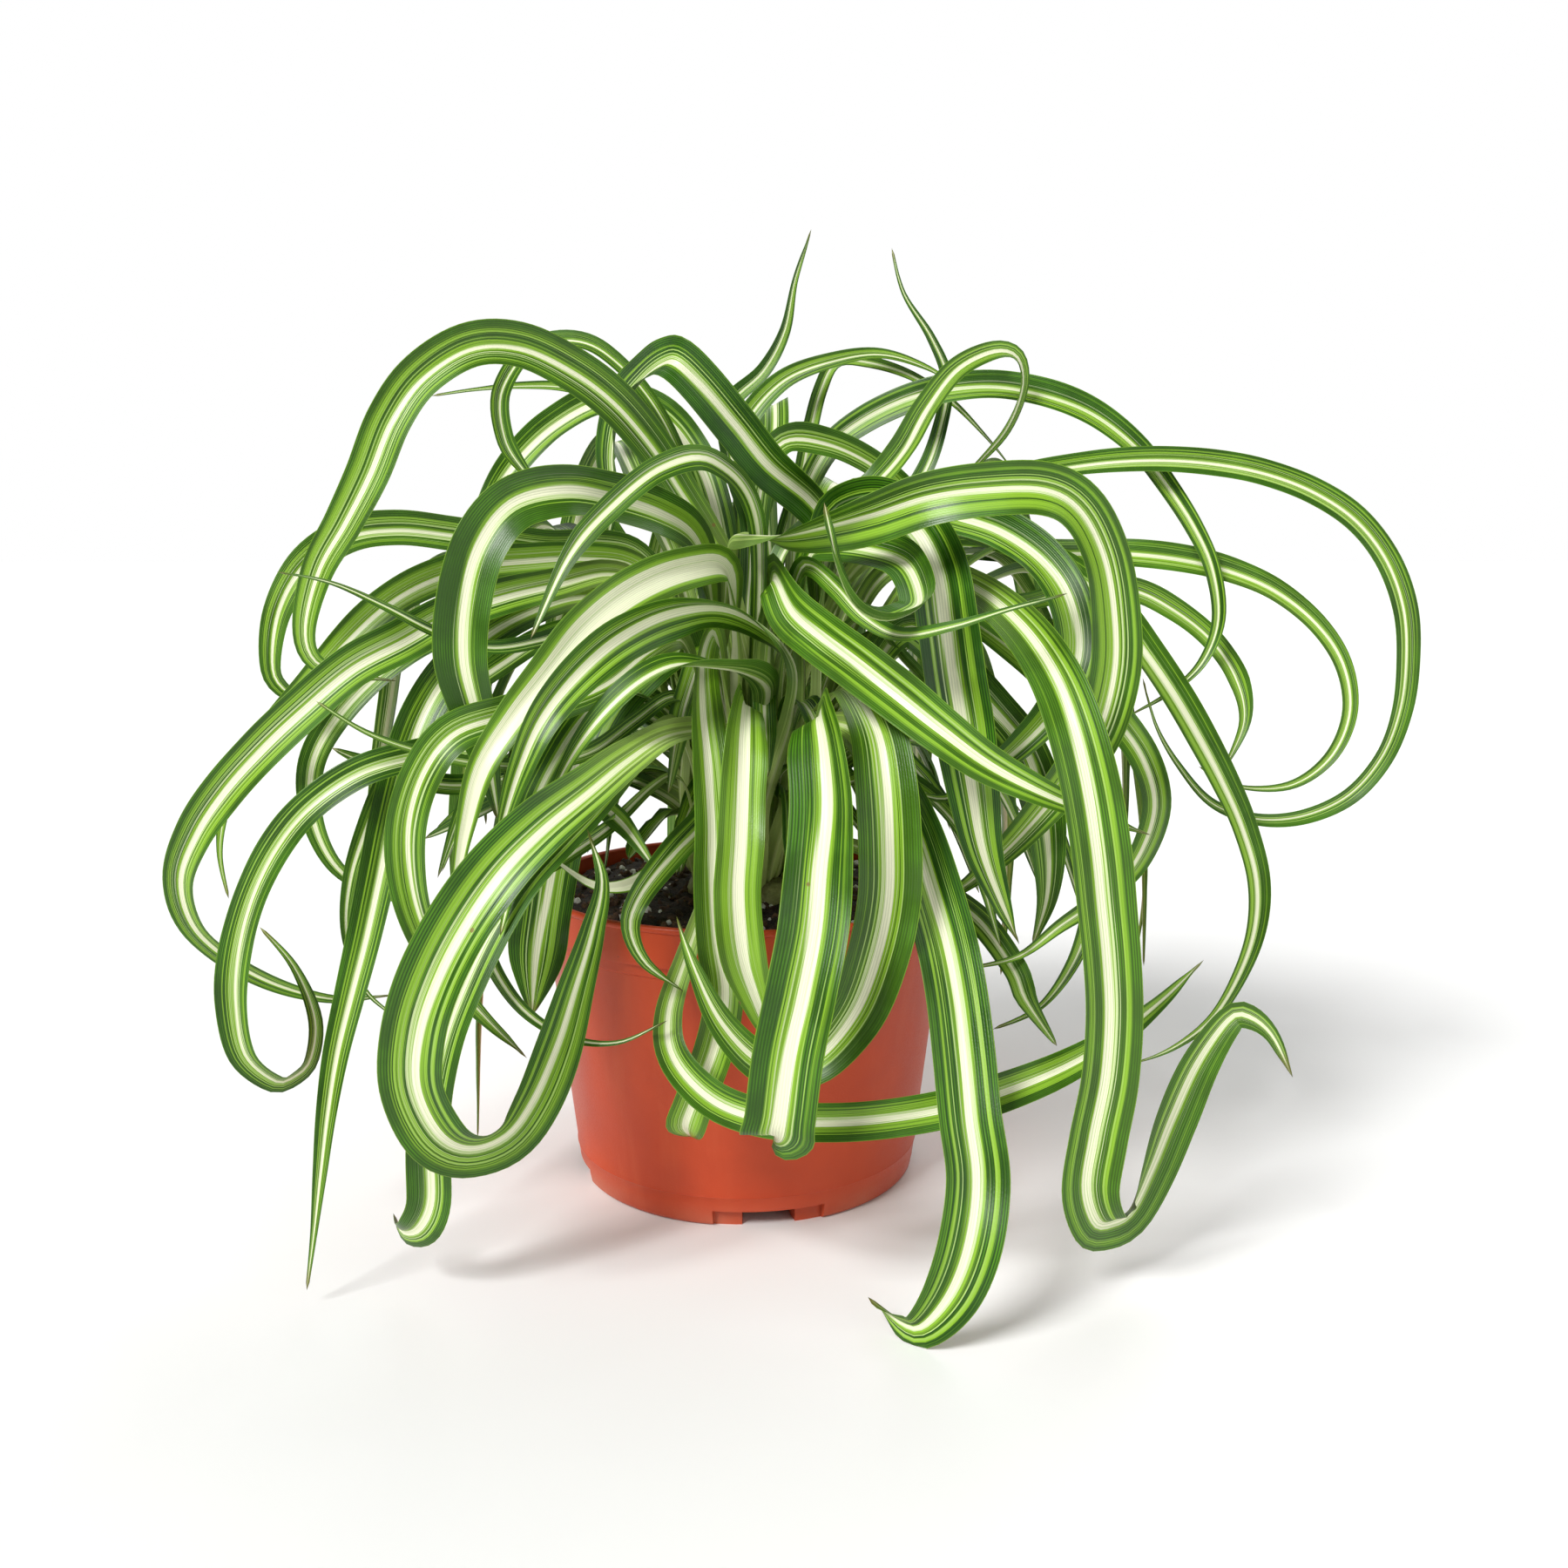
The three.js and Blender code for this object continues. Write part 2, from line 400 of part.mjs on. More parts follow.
const SOIL_EDGE_TOP = POT_HEIGHT - SOIL_BELOW_RIM;
const SOIL_EDGE_RADIUS =
  THREE.MathUtils.lerp(
    wallRadius(BAND_BOTTOM), BAND_RADIUS, (SOIL_EDGE_TOP - BAND_BOTTOM) / RIM_BAND_HEIGHT) -
  POT_WALL - 2 * SOIL_GAP;
const CROWN_BOTTOM = SOIL_EDGE_TOP + SOIL_MOUND + SOIL_GAP;

function soilTop(radius) {
  const share = Math.min(radius / SOIL_EDGE_RADIUS, 1);
  return SOIL_EDGE_TOP + SOIL_MOUND * (1 - share * share);
}

function pottingMix() {
  const gap = 2 * SOIL_GAP;
  const foot = BASE_RADIUS - FOOT_THICKNESS - gap;
  const bottom = POT_FLOOR + SOIL_GAP;
  const surface = [0.8, 0.6, 0.4, 0.2, 0].map((share) => {
    const radius = share * SOIL_EDGE_RADIUS;
    return [radius, soilTop(radius)];
  });
  const profile = [
    [0, bottom],
    [foot, bottom],
    [foot, FOOT_HEIGHT],
    [wallRadius(FOOT_HEIGHT + 2) - POT_WALL - gap, FOOT_HEIGHT + 3],
    [wallRadius(BAND_BOTTOM) - POT_WALL - gap, BAND_BOTTOM],
    [SOIL_EDGE_RADIUS, SOIL_EDGE_TOP],
    ...surface,
  ];
  return namedMesh("potting_mix", geometryOf(solidOf(turned(profile, 32))), MATERIALS.soil);
}

// Height of the crown's domed top, at a distance from its axis.
function crownTop(distance) {
  const share = Math.min(distance / CROWN_RADIUS, 1);
  return CROWN_BOTTOM + CROWN_HEIGHT * Math.sqrt(1 - 0.9 * share * share);
}

function crown() {
  const dome = [1, 0.85, 0.6, 0.3, 0].map((share) => [
    share * CROWN_RADIUS,
    crownTop(share * CROWN_RADIUS) - CROWN_BOTTOM,
  ]);
  const mesh = namedMesh(
    "crown", geometryOf(solidOf(turned([[0, 0], [CROWN_RADIUS, 0], ...dome], 24))), MATERIALS.crown);
  mesh.position.set(CROWN_AT.x, CROWN_AT.y, CROWN_BOTTOM);
  return mesh;
}

// ---------------------------------------------------------------------------------------------
// Leaf routes

// Moves a drawn point with the pot: heights below the rim stretch with it, those above it are
// lifted, and what lies outside the crown is spread with the rim.
function withPot([x, y, z]) {
  const radius = Math.hypot(x, y);
  const spread =
    (RIM_RADIUS - DRAWN_RIM_RADIUS) * THREE.MathUtils.smoothstep(radius, 0, DRAWN_RIM_RADIUS);
  const scale = 1 + spread / Math.max(radius, 1);
  const height =
    z < DRAWN_POT_HEIGHT ? z * (POT_HEIGHT / DRAWN_POT_HEIGHT) : z + POT_HEIGHT - DRAWN_POT_HEIGHT;
  return new THREE.Vector3(x * scale, y * scale, height);
}

// The route of a leaf that arches out in one upright plane and hangs at its end.
function archRoute({ bearing, reach, peak, end }) {
  const angle = THREE.MathUtils.degToRad(bearing);
  const steps = [0.12, 0.28, 0.45, 0.62, 0.78, 0.9, 0.97, 1];
  return steps.map((step, index) => {
    const out = THREE.MathUtils.lerp(BACK_START_OUT, reach, Math.sin((step * Math.PI) / 2));
    const rise = Math.sin(Math.min(step / 0.5, 1) * (Math.PI / 2));
    const fall = THREE.MathUtils.smoothstep(step, 0.4, 1.04);
    const height = THREE.MathUtils.lerp(BACK_START_HEIGHT, peak, rise) - (peak - end) * fall ** 1.5;
    const sway = 6 * Math.sin(index * 1.3 + bearing);
    return [
      BUNDLE_TOP.x + out * Math.cos(angle) - sway * Math.sin(angle),
      BUNDLE_TOP.y + out * Math.sin(angle) + sway * Math.cos(angle),
      height,
    ];
  });
}

const ALL_LEAVES = [
  ...LEAVES,
  ...BACK_LEAVES.map((leaf) => ({ ...leaf, rise: BACK_RISE, face: 0, route: archRoute(leaf) })),
];

// The middle of the bundle at a height: it leans from the crown to where the last leaves part.
function bundleAxis(height) {
  const share = THREE.MathUtils.inverseLerp(CROWN_BOTTOM, BUNDLE_TOP.z, height);
  return CROWN_AT.clone().lerp(new THREE.Vector2(BUNDLE_TOP.x, BUNDLE_TOP.y), share);
}

// Gives each leaf a place in the bundle, on the side that it leaves by: the leaves that part
// highest stand innermost. Places that are too close to each other are then pushed apart.
function takePlaces(leaves) {
  const order = [...leaves].sort((a, b) => b.rise - a.rise);
  order.forEach((leaf, rank) => {
    const [x, y] = leaf.route[1];
    const away = new THREE.Vector2(x, y).sub(bundleAxis(leaf.rise)).normalize();
    leaf.place = away.multiplyScalar(BUNDLE_INNER_RADIUS + BUNDLE_SPREAD * Math.sqrt(rank));
  });
  for (let round = 0; round < PLACE_ROUNDS; round++) {
    for (let i = 0; i < order.length; i++) {
      for (let k = i + 1; k < order.length; k++) {
        const gap = order[k].place.clone().sub(order[i].place);
        const short = PLACES_APART - gap.length();
        if (short <= 0) continue;
        gap.setLength(short / 2);
        order[k].place.add(gap);
        order[i].place.sub(gap);
      }
    }
  }
}

// The whole centre line of a leaf, from the crown through the bundle and along its route.
function centreLine(leaf) {
  const foot = new THREE.Vector3(
    CROWN_AT.x + leaf.place.x, CROWN_AT.y + leaf.place.y, crownTop(leaf.place.length()) + BASE_GAP);
  const lift = POT_HEIGHT - DRAWN_POT_HEIGHT;
  const partAt = Math.max(leaf.rise + lift - PART_BELOW_RISE, foot.z + 6);
  const bundle = [0.45, 1].map((share) => {
    const height = THREE.MathUtils.lerp(foot.z, partAt, share);
    const middle = bundleAxis(height - lift);
    const flare = THREE.MathUtils.mapLinear(height - lift, CROWN_BOTTOM, BUNDLE_TOP.z, 1, BUNDLE_FLARE);
    middle.addScaledVector(leaf.place, flare);
    return new THREE.Vector3(middle.x, middle.y, height);
  });
  const points = [foot, ...bundle, ...leaf.route.map(withPot)];
  return new THREE.CatmullRomCurve3(points, false, "centripetal");
}

// Stations along a curve, close together where it bends and further apart where it runs straight.
function stationsOn(curve) {
  const fine = curve.getSpacedPoints(FINE_STEPS);
  const load = [0];
  for (let i = 1; i < fine.length; i++) {
    const step = fine[i].distanceTo(fine[i - 1]);
    const before = fine[Math.max(i - 2, 0)];
    const after = fine[Math.min(i + 1, FINE_STEPS)];
    const first = fine[i].clone().sub(before);
    const second = after.clone().sub(fine[i - 1]);
    const bend = first.angleTo(second) / step;
    const density = THREE.MathUtils.clamp(BEND_DETAIL * bend, 1 / LONGEST_STEP, 1 / SHORTEST_STEP);
    load.push(load[i - 1] + step * density);
  }
  const count = Math.round(load[FINE_STEPS]);
  const stations = [];
  let at = 0;
  for (let k = 0; k <= count; k++) {
    const goal = (k / count) * load[FINE_STEPS];
    while (at < FINE_STEPS && load[at] < goal) at++;
    stations.push(fine[at].clone());
  }
  return stations;
}

// ---------------------------------------------------------------------------------------------
// Leaf frames: along, across and face directions at each station

// Turns the start direction along the leaf without twist, and then turns the blade to the light.
function setFrames(leaf) {
  const { centres } = leaf;
  const last = centres.length - 1;
  leaf.along = centres.map((_, i) =>
    centres[Math.min(i + 1, last)].clone().sub(centres[Math.max(i - 1, 0)]).normalize());
  const inward = new THREE.Vector3(-leaf.place.x, -leaf.place.y, 0).normalize();
  let free = inward.clone();
  let turn = 0;
  leaf.faces = leaf.along.map((along, i) => {
    if (i > 0) free = free.clone().applyQuaternion(
      new THREE.Quaternion().setFromUnitVectors(leaf.along[i - 1], along));
    free.addScaledVector(along, -free.dot(along)).normalize();
    const light = LIGHT.clone().addScaledVector(along, -LIGHT.dot(along));
    const side = along.clone().cross(free);
    const wanted = Math.atan2(light.dot(side), light.dot(free));
    const off = Math.atan2(Math.sin(wanted - turn), Math.cos(wanted - turn));
    const step = i > 0 ? centres[i].distanceTo(centres[i - 1]) : 0;
    const outside = THREE.MathUtils.smoothstep(i, leaf.bundled - 1, leaf.bundled + 2);
    const twist = off * Math.min(step / TURNING_LENGTH, 1) * light.length() * leaf.face * outside;
    turn += THREE.MathUtils.clamp(twist, -MOST_TWIST * step, MOST_TWIST * step);
    return free.clone().applyAxisAngle(along, turn);
  });
  leaf.across = leaf.along.map((along, i) => along.clone().cross(leaf.faces[i]));
}

// Blade width at a share of the length: narrow in the bundle, full, then a long taper.
function widthAt(leaf, share) {
  const full = leaf.width * BLADE_WIDTH_SCALE;
  const fullTo = leaf.fullTo ?? FULL_TO;
  const widening = THREE.MathUtils.smoothstep(share, WIDEN_FROM, Math.min(WIDEN_TO, fullTo));
  const taper = Math.max((share - fullTo) / (1 - fullTo), 0) ** TAPER_POWER;
  const width = full * THREE.MathUtils.lerp(BLADE_BASE_WIDTH, 1, widening) * (1 - taper);
  return Math.max(width, TIP_WIDTH);
}

function setWidths(leaf) {
  const lengths = [0];
  leaf.centres.forEach((centre, i) => {
    if (i > 0) lengths.push(lengths[i - 1] + centre.distanceTo(leaf.centres[i - 1]));
  });
  leaf.widths = lengths.map((length) => widthAt(leaf, length / lengths.at(-1)));
}

function setUp(leaf) {
  leaf.centres = stationsOn(centreLine(leaf));
  leaf.homes = leaf.centres.map((centre) => centre.clone());
  const partAt = leaf.rise + POT_HEIGHT - DRAWN_POT_HEIGHT - PART_BELOW_RISE;
  const parted = leaf.centres.findIndex((centre, i) => i > 1 && centre.z > partAt);
  leaf.bundled = parted < 0 ? 3 : parted;
  setWidths(leaf);
  setFrames(leaf);
}

// ---------------------------------------------------------------------------------------------
// Spacing: leaves that would touch are moved apart, mostly in depth as seen from the front

// Points spread over a blade, each knowing the stations that carry it.
function bladeSamples(leaf, leafIndex) {
  const samples = [];
  for (let i = 0; i + 1 < leaf.centres.length; i++) {
    const pieces = Math.max(Math.ceil(leaf.centres[i].distanceTo(leaf.centres[i + 1]) / SAMPLE_STEP), 1);
    for (let piece = 0; piece < pieces; piece++) {
      const share = piece / pieces;
      const width = THREE.MathUtils.lerp(leaf.widths[i], leaf.widths[i + 1], share);
      const rows = Math.max(Math.round(width / SAMPLE_STEP), 1);
      const centre = leaf.centres[i].clone().lerp(leaf.centres[i + 1], share);
      const across = leaf.across[i].clone().lerp(leaf.across[i + 1], share);
      const depth = THREE.MathUtils.lerp(leaf.homes[i].y, leaf.homes[i + 1].y, share);
      const parted = THREE.MathUtils.smoothstep(i, leaf.bundled - 1, leaf.bundled + 3);
      for (let row = 0; row <= rows; row++) {
        samples.push({
          leafIndex, station: i, share, depth, parted,
          at: centre.clone().addScaledVector(across, width * (row / rows - 0.5)),
        });
      }
    }
  }
  return samples;
}

const CELL = LEAF_CLEARANCE;
const CELLS_EACH_WAY = 1024;

function cellKey(x, y, z) {
  const half = CELLS_EACH_WAY / 2;
  return ((x + half) * CELLS_EACH_WAY + (y + half)) * CELLS_EACH_WAY + (z + half);
}

function sortIntoCells(samples) {
  const cells = new Map();
  samples.forEach((sample) => {
    sample.cell = ["x", "y", "z"].map((axis) => Math.floor(sample.at[axis] / CELL));
    const key = cellKey(...sample.cell);
    if (!cells.has(key)) cells.set(key, []);
    cells.get(key).push(sample);
  });
  return cells;
}

function areNeighbours(a, b) {
  if (a.leafIndex !== b.leafIndex) return a.leafIndex < b.leafIndex;
  return b.station - a.station > OWN_STATIONS_APART;
}

// How far and which way two samples have to part, or null.
function parting(a, b) {
  const gap = a.at.clone().sub(b.at);
  const distance = gap.length();
  const wanted = THREE.MathUtils.lerp(BUNDLE_CLEARANCE, LEAF_CLEARANCE, Math.min(a.parted, b.parted));
  if (distance >= wanted) return null;
  const behind = Math.abs(a.depth - b.depth) > 0.5 ? a.depth > b.depth : a.leafIndex > b.leafIndex;
  const push = gap.divideScalar(Math.max(distance, 0.01));
  push.y += (behind ? DEPTH_PUSH : -DEPTH_PUSH) * Math.min(a.parted, b.parted);
  return push.normalize().multiplyScalar((wanted - distance) * PUSH_SHARE);
}

function shareOut(moves, sample, push) {
  const { sums } = moves[sample.leafIndex];
  const { counts } = moves[sample.leafIndex];
  sums[sample.station].addScaledVector(push, 1 - sample.share);
  sums[sample.station + 1].addScaledVector(push, sample.share);
  counts[sample.station] += 1 - sample.share;
  counts[sample.station + 1] += sample.share;
}

// Pushes a sample out of the pot, off the potting mix and up from the ground.
function clearOfPot(sample) {
  const { x, y, z } = sample.at;
  const radius = Math.hypot(x, y);
  const push = new THREE.Vector3();
  if (z < GROUND_CLEARANCE) push.z += GROUND_CLEARANCE - z;
  const insideRim = radius < RIM_RADIUS - POT_CLEARANCE - 3;
  const clear = potRadius(z) + POT_CLEARANCE;
  if (z < POT_HEIGHT + POT_CLEARANCE && radius < clear && !insideRim) {
    push.x += (x / radius) * (clear - radius);
    push.y += (y / radius) * (clear - radius);
  }
  const rest = soilTop(radius) + POT_CLEARANCE;
  if (insideRim && z < rest && sample.station > 0) push.z += rest - z;
  return push.lengthSq() > 0 ? push : null;
}

function spacingRound(leaves) {
  const samples = leaves.flatMap(bladeSamples);
  const cells = sortIntoCells(samples);
  const moves = leaves.map((leaf) => ({
    sums: leaf.centres.map(() => new THREE.Vector3()),
    counts: leaf.centres.map(() => 0),
  }));
  for (const a of samples) {
    const [cx, cy, cz] = a.cell;
    for (let x = cx - 1; x <= cx + 1; x++) {
      for (let y = cy - 1; y <= cy + 1; y++) {
        for (let z = cz - 1; z <= cz + 1; z++) {
          for (const b of cells.get(cellKey(x, y, z)) ?? []) {
            if (!areNeighbours(a, b)) continue;
            const push = parting(a, b);
            if (!push) continue;
            shareOut(moves, a, push);
            shareOut(moves, b, push.negate());
          }
        }
      }
    }
    const clear = clearOfPot(a);
    if (clear) {
      for (let weight = 0; weight < POT_WEIGHT; weight++) shareOut(moves, a, clear);
    }
  }
  return moves;
}

// Moves a leaf's stations, and evens out how far neighbouring stations stand from their homes, so
// that the leaf keeps its smooth line. The first station stays on the crown.
function applyMoves(leaf, { sums, counts }, homePull) {
  const last = leaf.centres.length - 1;
  leaf.centres.forEach((centre, i) => {
    if (i === 0) return;
    const move = sums[i].clone().divideScalar(Math.max(counts[i] * CROWDING, 1));
    const home = leaf.homes[i].clone().sub(centre);
    home.y *= HOME_DEPTH_SHARE;
    move.addScaledVector(home, homePull).clampLength(0, LONGEST_MOVE);
    centre.add(move);
  });
  const offsets = leaf.centres.map((centre, i) => centre.clone().sub(leaf.homes[i]));
  leaf.centres.forEach((centre, i) => {
    if (i === 0) return;
    const even = offsets[i - 1].clone().add(offsets[Math.min(i + 1, last)]).multiplyScalar(0.5);
    centre.addScaledVector(even.sub(offsets[i]), EVENING);
  });
}

function spaceLeaves(leaves) {
  for (let round = 0; round < SPACING_ROUNDS; round++) {
    const moves = spacingRound(leaves);
    const homePull = round < HOME_ROUNDS ? HOME_PULL : 0;
    leaves.forEach((leaf, index) => applyMoves(leaf, moves[index], homePull));
    if (round % FRAME_EVERY === FRAME_EVERY - 1) leaves.forEach(setFrames);
  }
  leaves.forEach(setFrames);
}

// ---------------------------------------------------------------------------------------------
// Leaf solids

// The four corners of a blade's section: edge, upper midrib, edge, lower midrib.
function sectionAt(leaf, i) {
  const width = leaf.widths[i];
  const sink = (BLADE_CHANNEL * width) / 2;
  const half = Math.min(BLADE_THICKNESS, width) / 2;
  const corner = (out, up) =>
    leaf.centres[i].clone().addScaledVector(leaf.across[i], out).addScaledVector(leaf.faces[i], up);
  return [
    corner(-width / 2, sink),
    corner(0, half - sink),
    corner(width / 2, sink),
    corner(0, -half - sink),
  ];
}

// Both faces of a half blade are split along the same diagonal, so that a twist keeps them apart.
function blade(leaf) {
  const corners = leaf.centres.flatMap((_, i) => sectionAt(leaf, i));
  const faces = [[0, 3, 1], [1, 3, 2]];
  const rings = leaf.centres.length;
  for (let ring = 0; ring + 1 < rings; ring++) {
    for (let side = 0; side < 4; side++) {
      const a = ring * 4 + side;
      const b = ring * 4 + ((side + 1) % 4);
      if (side % 2 === 0) faces.push([a, b, b + 4], [a, b + 4, a + 4]);
      else faces.push([a, b, a + 4], [b, b + 4, a + 4]);
    }
  }
  const tip = (rings - 1) * 4;
  faces.push([tip, tip + 1, tip + 3], [tip + 1, tip + 2, tip + 3]);
  const geometry = new THREE.BufferGeometry();
  const positions = corners.flatMap((corner) => corner.toArray());
  geometry.setAttribute("position", new THREE.Float32BufferAttribute(positions, 3));
  geometry.setIndex(faces.flat());
  return namedMesh("leaf_" + leaf.name, geometry, MATERIALS.leaf);
}

function foliage() {
  const leaves = ALL_LEAVES.map((leaf) => ({ ...leaf }));
  takePlaces(leaves);
  leaves.forEach(setUp);
  spaceLeaves(leaves);
  return leaves.map(blade);
}

// ---------------------------------------------------------------------------------------------

const plant = new THREE.Group();
plant.add(pot(), pottingMix(), crown(), ...foliage());

export default plant;
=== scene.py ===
"""The visible potted spider plant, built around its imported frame.

Metres, Z up, with the base of the pot at the origin.
"""
import logging
import math
import random
from dataclasses import dataclass, field
from enum import Enum

import bpy
import numpy as np
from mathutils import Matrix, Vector, noise


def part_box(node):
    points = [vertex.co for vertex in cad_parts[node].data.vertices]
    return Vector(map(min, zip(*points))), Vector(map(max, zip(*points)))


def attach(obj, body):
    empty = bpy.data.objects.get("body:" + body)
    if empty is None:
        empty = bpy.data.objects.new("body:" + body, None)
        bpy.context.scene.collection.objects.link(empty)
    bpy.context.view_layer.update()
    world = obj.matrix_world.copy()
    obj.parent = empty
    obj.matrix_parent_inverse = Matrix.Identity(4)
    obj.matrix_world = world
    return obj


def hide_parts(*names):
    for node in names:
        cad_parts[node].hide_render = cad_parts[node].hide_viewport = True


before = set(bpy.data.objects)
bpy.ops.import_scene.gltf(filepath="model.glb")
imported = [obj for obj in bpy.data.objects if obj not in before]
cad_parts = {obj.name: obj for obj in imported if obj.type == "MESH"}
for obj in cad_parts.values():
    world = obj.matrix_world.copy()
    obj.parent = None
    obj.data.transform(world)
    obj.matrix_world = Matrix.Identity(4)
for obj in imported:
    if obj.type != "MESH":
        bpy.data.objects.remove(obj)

LOG = logging.getLogger("spider_plant")
MM = 0.001
BODY = "root"

Colour = tuple[float, float, float]
Point = tuple[float, float, float]


class Slot(Enum):
    """The names of the record's material slots."""

    POT = "pot"
    SOIL = "soil"
    CROWN = "crown"
    LEAF = "leaf"


# ---------------------------------------------------------------------------
# Node trees
# ---------------------------------------------------------------------------
class NodeWriter:
    """Adds nodes to one tree and joins them up."""

    def __init__(self, tree: bpy.types.NodeTree) -> None:
        """Args:
            tree: the shader or geometry tree to write into.
        """
        self.tree = tree

    def add(self, kind: str, inputs: dict | None = None, **settings) -> bpy.types.Node:
        """Adds one node.

        Args:
            kind: the node's type name.
            inputs: values or sockets by input name or number.
            settings: the node's own properties.

        Returns:
            The new node.
        """
        node = self.tree.nodes.new(kind)
        for name, value in settings.items():
            setattr(node, name, value)
        for key, value in (inputs or {}).items():
            self.feed(node.inputs[key], value)
        return node

    def feed(self, socket: bpy.types.NodeSocket, value) -> None:
        """Links a socket into an input, or sets the input's own value.

        Args:
            socket: the input.
            value: another node's output, a number, a vector, a colour or a material.
        """
        if isinstance(value, bpy.types.NodeSocket):
            self.tree.links.new(value, socket)
            return
        if isinstance(value, (tuple, list)) and socket.type == "RGBA" and len(value) == 3:
            value = (*value, 1.0)
        socket.default_value = value

    def math(self, operation: str, *values, clamp: bool = False) -> bpy.types.NodeSocket:
        """One step of arithmetic.

        Args:
            operation: the Math node's operation.
            values: its one, two or three values.
            clamp: whether the result stays from 0 to 1.

        Returns:
            The result's socket.
        """
        inputs = dict(enumerate(values))
        return self.add("ShaderNodeMath", inputs, operation=operation, use_clamp=clamp).outputs[0]

    def vector_math(self, operation: str, *values) -> bpy.types.NodeSocket:
        """One step of vector arithmetic, with the same arguments as math."""
        return self.add("ShaderNodeVectorMath", dict(enumerate(values)), operation=operation).outputs[0]

    def scaled(self, vector, factor) -> bpy.types.NodeSocket:
        """A vector times a number."""
        node = self.add("ShaderNodeVectorMath", {0: vector, "Scale": factor}, operation="SCALE")
        return node.outputs[0]

    def ramp(self, value, start, end, low=0.0, high=1.0) -> bpy.types.NodeSocket:
        """A smooth step of a value.

        Args:
            value: what is measured.
            start: where the step begins.
            end: where it ends.
            low: the result before it.
            high: the result after it.

        Returns:
            The step's socket.
        """
        inputs = {0: value, 1: start, 2: end, 3: low, 4: high}
        return self.add("ShaderNodeMapRange", inputs, interpolation_type="SMOOTHSTEP").outputs[0]

    def noise(self, vector, scale: float, detail: float = 2.0, rough: float = 0.5) -> bpy.types.NodeSocket:
        """Soft noise from about 0.3 to 0.7.

        Args:
            vector: where it is read.
            scale: its fineness.
            detail: its octaves.
            rough: the share of the finer octaves.

        Returns:
            The noise's value.
        """
        inputs = {"Vector": vector, "Scale": scale, "Detail": detail, "Roughness": rough}
        return self.add("ShaderNodeTexNoise", inputs).outputs[0]

    def mixed(self, factor, first, second) -> bpy.types.NodeSocket:
        """A colour between two.

        Args:
            factor: 0 for the first, 1 for the second.
            first: a colour.
            second: a colour.

        Returns:
            The mixed colour's socket.
        """
        node = self.add("ShaderNodeMix", {}, data_type="RGBA")
        for index, value in ((0, factor), (6, first), (7, second)):
            self.feed(node.inputs[index], value)
        return node.outputs[2]

    def combined(self, x, y, z) -> bpy.types.NodeSocket:
        """A vector of three numbers."""
        return self.add("ShaderNodeCombineXYZ", {0: x, 1: y, 2: z}).outputs[0]

    def parts(self, vector) -> list[bpy.types.NodeSocket]:
        """A vector's three numbers."""
        return list(self.add("ShaderNodeSeparateXYZ", {0: vector}).outputs)


def new_group(name: str, kind: str, inputs: dict, outputs: dict) -> tuple[NodeWriter, dict, bpy.types.Node]:
    """A new node group with its sockets.

    Args:
        name: the group's name.
        kind: the tree's type.
        inputs: each input's socket type and starting value, by name.
        outputs: each output's socket type, by name.

    Returns:
        The writer, the inputs' sockets inside the group by name, and the output node.
    """
    tree = bpy.data.node_groups.new(name, kind)
    for label, (socket_type, value) in inputs.items():
        socket = tree.interface.new_socket(label, in_out="INPUT", socket_type=socket_type)
        if value is not None:
            socket.default_value = value
    for label, socket_type in outputs.items():
        tree.interface.new_socket(label, in_out="OUTPUT", socket_type=socket_type)
    writer = NodeWriter(tree)
    inside = writer.add("NodeGroupInput")
    sockets = {label: inside.outputs[label] for label in inputs}
    return writer, sockets, writer.add("NodeGroupOutput")


FLOAT = "NodeSocketFloat"
WHOLE = "NodeSocketInt"
SHAPE = "NodeSocketGeometry"


# ---------------------------------------------------------------------------
# Shared shader effects
# ---------------------------------------------------------------------------
def mottle_group() -> bpy.types.NodeTree:
    """Slow unevenness and fine grain over a surface, shared by every finish.

    Returns:
        The node group, with Tone and Grain from 0 to 1.
    """
    inputs = {"Scale": (FLOAT, 40.0), "Grain Scale": (FLOAT, 900.0), "Seed": (FLOAT, 0.0)}
    w, given, out = new_group("mottle", "ShaderNodeTree", inputs, {"Tone": FLOAT, "Grain": FLOAT})
    place = w.add("ShaderNodeTexCoord").outputs["Object"]
    moved = w.vector_math("ADD", place, w.combined(given["Seed"], given["Seed"], given["Seed"]))
    slow = w.add("ShaderNodeTexNoise", {"Vector": moved, "Scale": given["Scale"], "Detail": 3.0})
    fine = w.add("ShaderNodeTexNoise", {"Vector": moved, "Scale": given["Grain Scale"], "Detail": 2.0})
    w.feed(out.inputs["Tone"], w.ramp(slow.outputs[0], 0.3, 0.7))
    w.feed(out.inputs["Grain"], w.ramp(fine.outputs[0], 0.25, 0.75))
    return w.tree


def specks_group() -> bpy.types.NodeTree:
    """Small scattered spots, shared by the leaves, the pot and the potting mix.

    Returns:
        The node group, with Mask 1 inside a spot.
    """
    inputs = {"Scale": (FLOAT, 160.0), "Size": (FLOAT, 0.1), "Share": (FLOAT, 0.1)}
    w, given, out = new_group("specks", "ShaderNodeTree", inputs, {"Mask": FLOAT})
    place = w.add("ShaderNodeTexCoord").outputs["Object"]
    cells = w.add("ShaderNodeTexVoronoi", {"Vector": place, "Scale": given["Scale"]})
    chance = w.parts(cells.outputs["Color"])[0]
    inside = w.ramp(cells.outputs["Distance"], given["Size"], w.math("MULTIPLY", given["Size"], 0.6))
    w.feed(out.inputs["Mask"], w.math("MULTIPLY", inside, w.math("LESS_THAN", chance, given["Share"])))
    return w.tree


